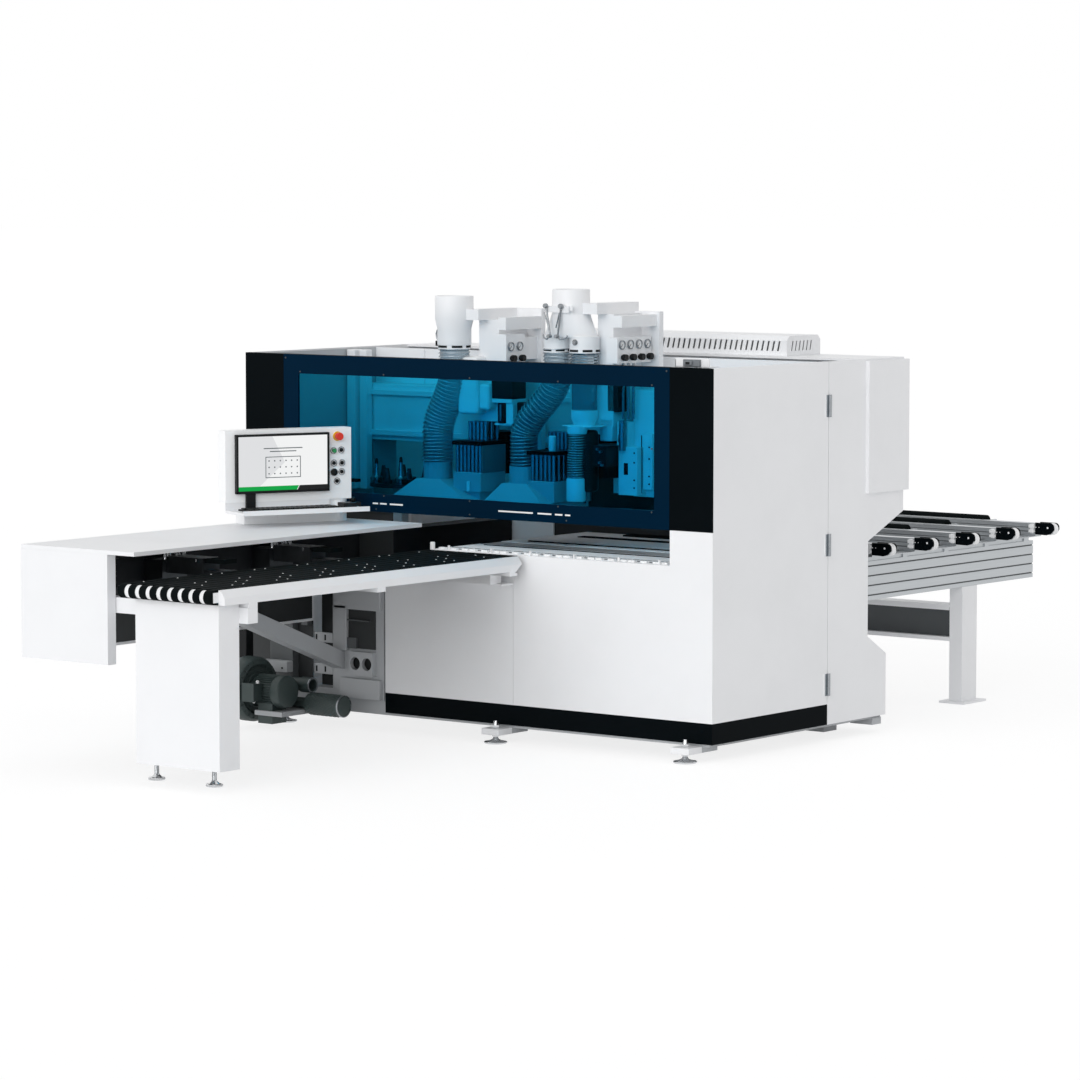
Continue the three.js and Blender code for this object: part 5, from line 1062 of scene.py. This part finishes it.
# First head: gear block, cylinders, the dark cap strip and the taller cylinders behind it.
piece("first drilling block", "head_1", black_enamel,
      [slab(-1990, -1805, 640, 801, 1320, 1540), slab(-1965, -1830, 452, 548, 1150, 1190),
       slab(-1994, -1802, 424, 641, 1478, 1500)], 2.0, replaces=["drill_block_1"])
piece("gear case of the first block", "head_1", grey_powder_coat,
      [slab(-1990, -1805, 430, 640, 1232, 1334), slab(-1970, -1820, 442, 560, 1188, 1232)], 3.0)
piece("side plate of the first block", "head_1", grey_abs, [slab(-1808, -1803.5, 440, 640, 1334, 1478)], 1.0)
piece("cylinders of the first block", "head_1", cylinder_steel,
      cylinder_bank(-1990, -1810, 432, 640, 1334, 1479, 11, 7, 5)
      + cylinder_bank(-1960, -1830, 500, 640, 1499, 1600, 12, 5, 3))
piece("pale nozzle of the first block", "head_1", white_abs,
      [lathe([(0, 1238), (9, 1238), (9, 1284), (6, 1288), (0, 1288)], (-1884, 424), "z", 20)])
piece("light housing of the first head", "carriage_1", white_abs,
      [slab(-2000, -1868, 476, 640, 1636, 1940), slab(-1868, -1800, 490, 640, 1660, 1800)], 18.0)
piece("motor of the first head", "carriage_1", black_abs,
      [slab(-1806, -1664, 520, 640, 1722, 1868), slab(-1666, -1622, 560, 640, 1622, 1706)], 6.0)
piece("frame under the motor", "carriage_1", white_abs,
      [slab(-1800, -1668, 520, 640, 1702, 1722), slab(-1714, -1668, 530, 640, 1590, 1704),
       slab(-1796, -1668, 536, 640, 1582, 1594)], 2.0)
piece("dark cylinder under the motor", "carriage_1", black_abs,
      [lathe([(0, 1594), (30, 1594), (30, 1702), (0, 1702)], (-1752, 556), "z", 28)])
piece("sight glass of the dark cylinder", "carriage_1", ground_steel,
      [lathe([(0, 1606), (5, 1606), (5, 1692), (0, 1692)], (-1748, 527), "z", 12)])

# Second head: its block, the router beside it and the plates of its column.
piece("second drilling block", "head_2", black_enamel,
      [slab(-1490, -1320, 640, 801, 1320, 1540), slab(-1320, -1040, 760, 801, 1320, 1540),
       slab(-1494, -1316, 424, 641, 1446, 1466), slab(-1475, -1345, 452, 548, 1150, 1202)], 2.0,
      replaces=["drill_block_2"])
piece("gear case of the second block", "head_2", grey_powder_coat,
      [slab(-1490, -1320, 430, 640, 1200, 1308)], 3.0)
piece("cylinders of the second block", "head_2", cylinder_steel,
      cylinder_bank(-1488, -1322, 432, 640, 1306, 1448, 11, 6, 5)
      + cylinder_bank(-1470, -1340, 560, 640, 1464, 1560, 12, 5, 2))
piece("pale filter of the second head", "head_2", white_abs,
      [lathe([(0, 1466), (18, 1466), (20, 1472), (20, 1540), (14, 1546), (0, 1546)], (-1360, 470), "z", 24)])
piece("router motor", "head_2", black_abs,
      [lathe([(0, 1262), (40, 1262), (52, 1268), (58, 1280), (58, 1560), (50, 1580), (0, 1585)],
             (-1155, 500), "z", 40),
       slab(-1100, -1010, 470, 600, 1398, 1506), slab(-1200, -1060, 545, 762, 1330, 1500)], 3.0)
piece("fittings of the router motor", "head_2", ground_steel,
      [lathe([(0, 452), (6, 452), (6, 472), (0, 472)], (x, z), "y", 12)
       for x, z in ((-1060, 1488), (-1040, 1476), (-1046, 1420), (-1030, 1408))])
piece("white case above the router", "carriage_2", white_abs, [slab(-1120, -1040, 560, 640, 1524, 1640)], 5.0)
piece("black motor of the column", "carriage_2", black_abs, [slab(-1074, -1004, 560, 640, 1676, 1836)], 5.0)
piece("plates of the column", "carriage_2", white_abs,
      [slab(-1024, -956, 580, 640, 1420, 1628), slab(-1000, -880, 560, 640, 1250, 1500),
       slab(-872, -812, 600, 640, 1280, 1570), slab(-1130, -1048, 690, 800, 1246, 1330)], 3.0)
# Thin black slabs and discs of painted shade stand for the column's slots and holes.
column_slots = [slab(-964, -938, 558.6, 560.4, 1356, 1416), slab(-1016, -1000, 578.6, 580.4, 1520, 1560),
                slab(-883, -879, 598.4, 602, 1262, 1560)]
for x, near, heights in ((-898, 558.4, (1290, 1330, 1420, 1470)), (-832, 598.4, (1310, 1350, 1440, 1500))):
    for z in heights:
        column_slots.append(lathe([(0, near), (5, near), (5, near + 2), (0, near + 2)], (x, z), "y", 12))
piece("painted shade in the slots of the column", "carriage_2", black_abs, column_slots)
piece("column rods", "carriage_2", ground_steel,
      [tube([(x, 600, 1640), (x, 600, 1930)], 7.0, 14) for x in (-1000, -966, -933)]
      + [lathe([(0, 1480), (20, 1480), (20, 1636), (0, 1636)], (-972, 560), "z", 28)])

# Through the slot over the front panel: the table's strips, its stops and the curtain of the rear opening,
# drawn in the black of painted shade.
TABLE_LEFT, TABLE_RIGHT = -1811, -289
TABLE_TOP = 963
# The table's surface takes the whiter coat, as painted light in the shaded slot.
piece("table surface", "machine", white_coat_with_painted_light,
      [slab(TABLE_LEFT, TABLE_RIGHT, 24, 428, 960.2, TABLE_TOP),
       slab(TABLE_LEFT, TABLE_RIGHT, 612, 1356, 960.2, TABLE_TOP)])
piece("black strips of the table", "machine", nitrile_rubber,
      [slab(-1690, -292, 682, 704, TABLE_TOP, 968), slab(-1640, -292, 1050, 1110, TABLE_TOP, 968),
       slab(-1740, -292, 372, 382, TABLE_TOP, 967), slab(-1480, -1180, 1240, 1330, TABLE_TOP, 972)], 1.0)
stops = []
for k in range(22):
    x = -1790 + 68 * k + 9 * (k % 3)
    stops.append(slab(x, x + 40, 60, 84, TABLE_TOP, 972))
    stops.append(slab(x + 12, x + 18, 84, 150, TABLE_TOP, 968))
    if k % 4 == 1:
        stops.append(slab(x, x + 8, 40, 52, TABLE_TOP, 986))
piece("pale stops of the table", "machine", white_abs, stops, 1.5)
piece("edge rails of the table", "machine", ground_steel,
      [slab(TABLE_LEFT, TABLE_RIGHT, 92, 98, TABLE_TOP, 967),
       slab(TABLE_LEFT, TABLE_RIGHT, 170, 175, TABLE_TOP, 966)])
# The curtain's black is painted shade.
piece("curtain of the rear opening", "machine", painted_shade_black, [slab(-2340, -30, 1384, 1387, 900, 1440)])
piece("pale post behind the table", "machine", white_powder_coat, [slab(-2398, -2374, 1290, 1300, 900, 1160)])

# Outfeed: the angle that carries the arms, and the shade in the channel between the legs.
piece("angle under the arms", "machine", anodised_along_y,
      [slab(-345, -317, RAIL_NEAR, 3480, 850, 884.5), slab(-345, -236, RAIL_NEAR, 3480, 880, 884.5)])
piece("shade in the channel", "machine", painted_shade_grey, [slab(-1890, -395, 2876, 2879, 354, 526)])
piece("flange edges of the channel", "machine", white_powder_coat,
      [slab(-1821, -391, 2777, 2779.7, low, high) for low, high in ((510, 540), (340, 362))])

# Floor, world and lamps

# The share of plain white in what the camera sees of the floor, and its strength. With the lit part of
# the floor they come to just above 1, so no edge shows where the floor ends.
FLOOR_SHARE = 0.72
FLOOR_WHITE = 1.1
FLOOR_REACH = 400.0
FLOOR_LEVEL = -0.001
WORLD_LIGHT = 0.67
BACKDROP_WHITE = 1.0


def seen_directly(owner):
    """A factor of 1 for what the camera sees, by itself or in a mirror finish or through a clear one."""
    path = add_node(owner, "ShaderNodeLightPath")
    mirrored = add_node(owner, "ShaderNodeMath", {},
                        {0: path.outputs["Is Camera Ray"], 1: path.outputs["Is Glossy Ray"]},
                        operation="MAXIMUM")
    through = add_node(owner, "ShaderNodeMath", {},
                       {0: mirrored.outputs["Value"], 1: path.outputs["Is Transmission Ray"]},
                       operation="MAXIMUM")
    return through.outputs["Value"]


def studio_floor():
    """A matt white floor, which shows as white and keeps the machine's soft shadow."""
    finish, output = new_finish("studio floor")
    place = add_node(finish, "ShaderNodeTexCoord")
    mottle = add_node(finish, "ShaderNodeTexNoise", {"Scale": 0.7, "Detail": 3.0},
                      {"Vector": place.outputs["Object"]})
    tone = add_node(finish, "ShaderNodeMix", {"A": linear("#f8f8f9"), "B": linear("#fcfcfc")},
                    {"Factor": mottle.outputs["Fac"]}, data_type="RGBA")
    matt = add_node(finish, "ShaderNodeBsdfDiffuse", {}, {"Color": tone.outputs["Result"]})
    white = add_node(finish, "ShaderNodeEmission", {"Strength": FLOOR_WHITE})
    pale = add_node(finish, "ShaderNodeMixShader", {"Fac": FLOOR_SHARE},
                    {1: matt.outputs["BSDF"], 2: white.outputs["Emission"]})
    shown = add_node(finish, "ShaderNodeMixShader", {},
                     {"Fac": seen_directly(finish), 1: matt.outputs["BSDF"], 2: pale.outputs["Shader"]})
    finish.node_tree.links.new(shown.outputs["Shader"], output.inputs["Surface"])
    mesh = bpy.data.meshes.new("floor")
    corners = [(x * FLOOR_REACH, y * FLOOR_REACH, FLOOR_LEVEL)
               for x, y in ((-1, -1), (1, -1), (1, 1), (-1, 1))]
    mesh.from_pydata(corners, [], [(0, 1, 2, 3)])
    mesh.materials.append(finish)
    floor = bpy.data.objects.new("floor", mesh)
    bpy.context.scene.collection.objects.link(floor)


def studio_world():
    """Even light from all round, in front of a white backdrop."""
    world = bpy.data.worlds.new("studio")
    bpy.context.scene.world = world
    world.use_nodes = True
    world.node_tree.nodes.clear()
    white = (1.0, 1.0, 1.0, 1.0)
    light = add_node(world, "ShaderNodeBackground", {"Color": white, "Strength": WORLD_LIGHT})
    backdrop = add_node(world, "ShaderNodeBackground", {"Color": white, "Strength": BACKDROP_WHITE})
    pick = add_node(world, "ShaderNodeMixShader", {},
                    {"Fac": seen_directly(world), 1: light.outputs["Background"],
                     2: backdrop.outputs["Background"]})
    add_node(world, "ShaderNodeOutputWorld", {}, {"Surface": pick.outputs["Shader"]})


studio_floor()
studio_world()

# The key lamp is wide and low. It stands in front of the machine and a little to the right.
KEY_DIRECTION = (-0.2, 1.2, -0.22)
KEY_STRENGTH = 1.72
KEY_SPREAD = 60.0

key_light = bpy.data.lights.new("key lamp", "SUN")
key_light.energy = KEY_STRENGTH
key_light.angle = math.radians(KEY_SPREAD)
key_lamp = bpy.data.objects.new("key lamp", key_light)
key_lamp.rotation_euler = Vector(KEY_DIRECTION).to_track_quat("-Z", "Y").to_euler()
bpy.context.scene.collection.objects.link(key_lamp)


def cabinet_light(centre, length, width, power):
    """The long light under the front frame, which shines down on the table. Its sizes are in metres."""
    light = bpy.data.lights.new("cabinet light", "AREA")
    light.shape = "RECTANGLE"
    light.size = length
    light.size_y = width
    light.energy = power
    made = bpy.data.objects.new("cabinet light", light)
    made.location = corner_point(*centre)
    bpy.context.scene.collection.objects.link(made)


cabinet_light((-1530, 150, 1925), 2.4, 0.05, 4.0)

bpy.context.scene.view_settings.view_transform = "Standard"
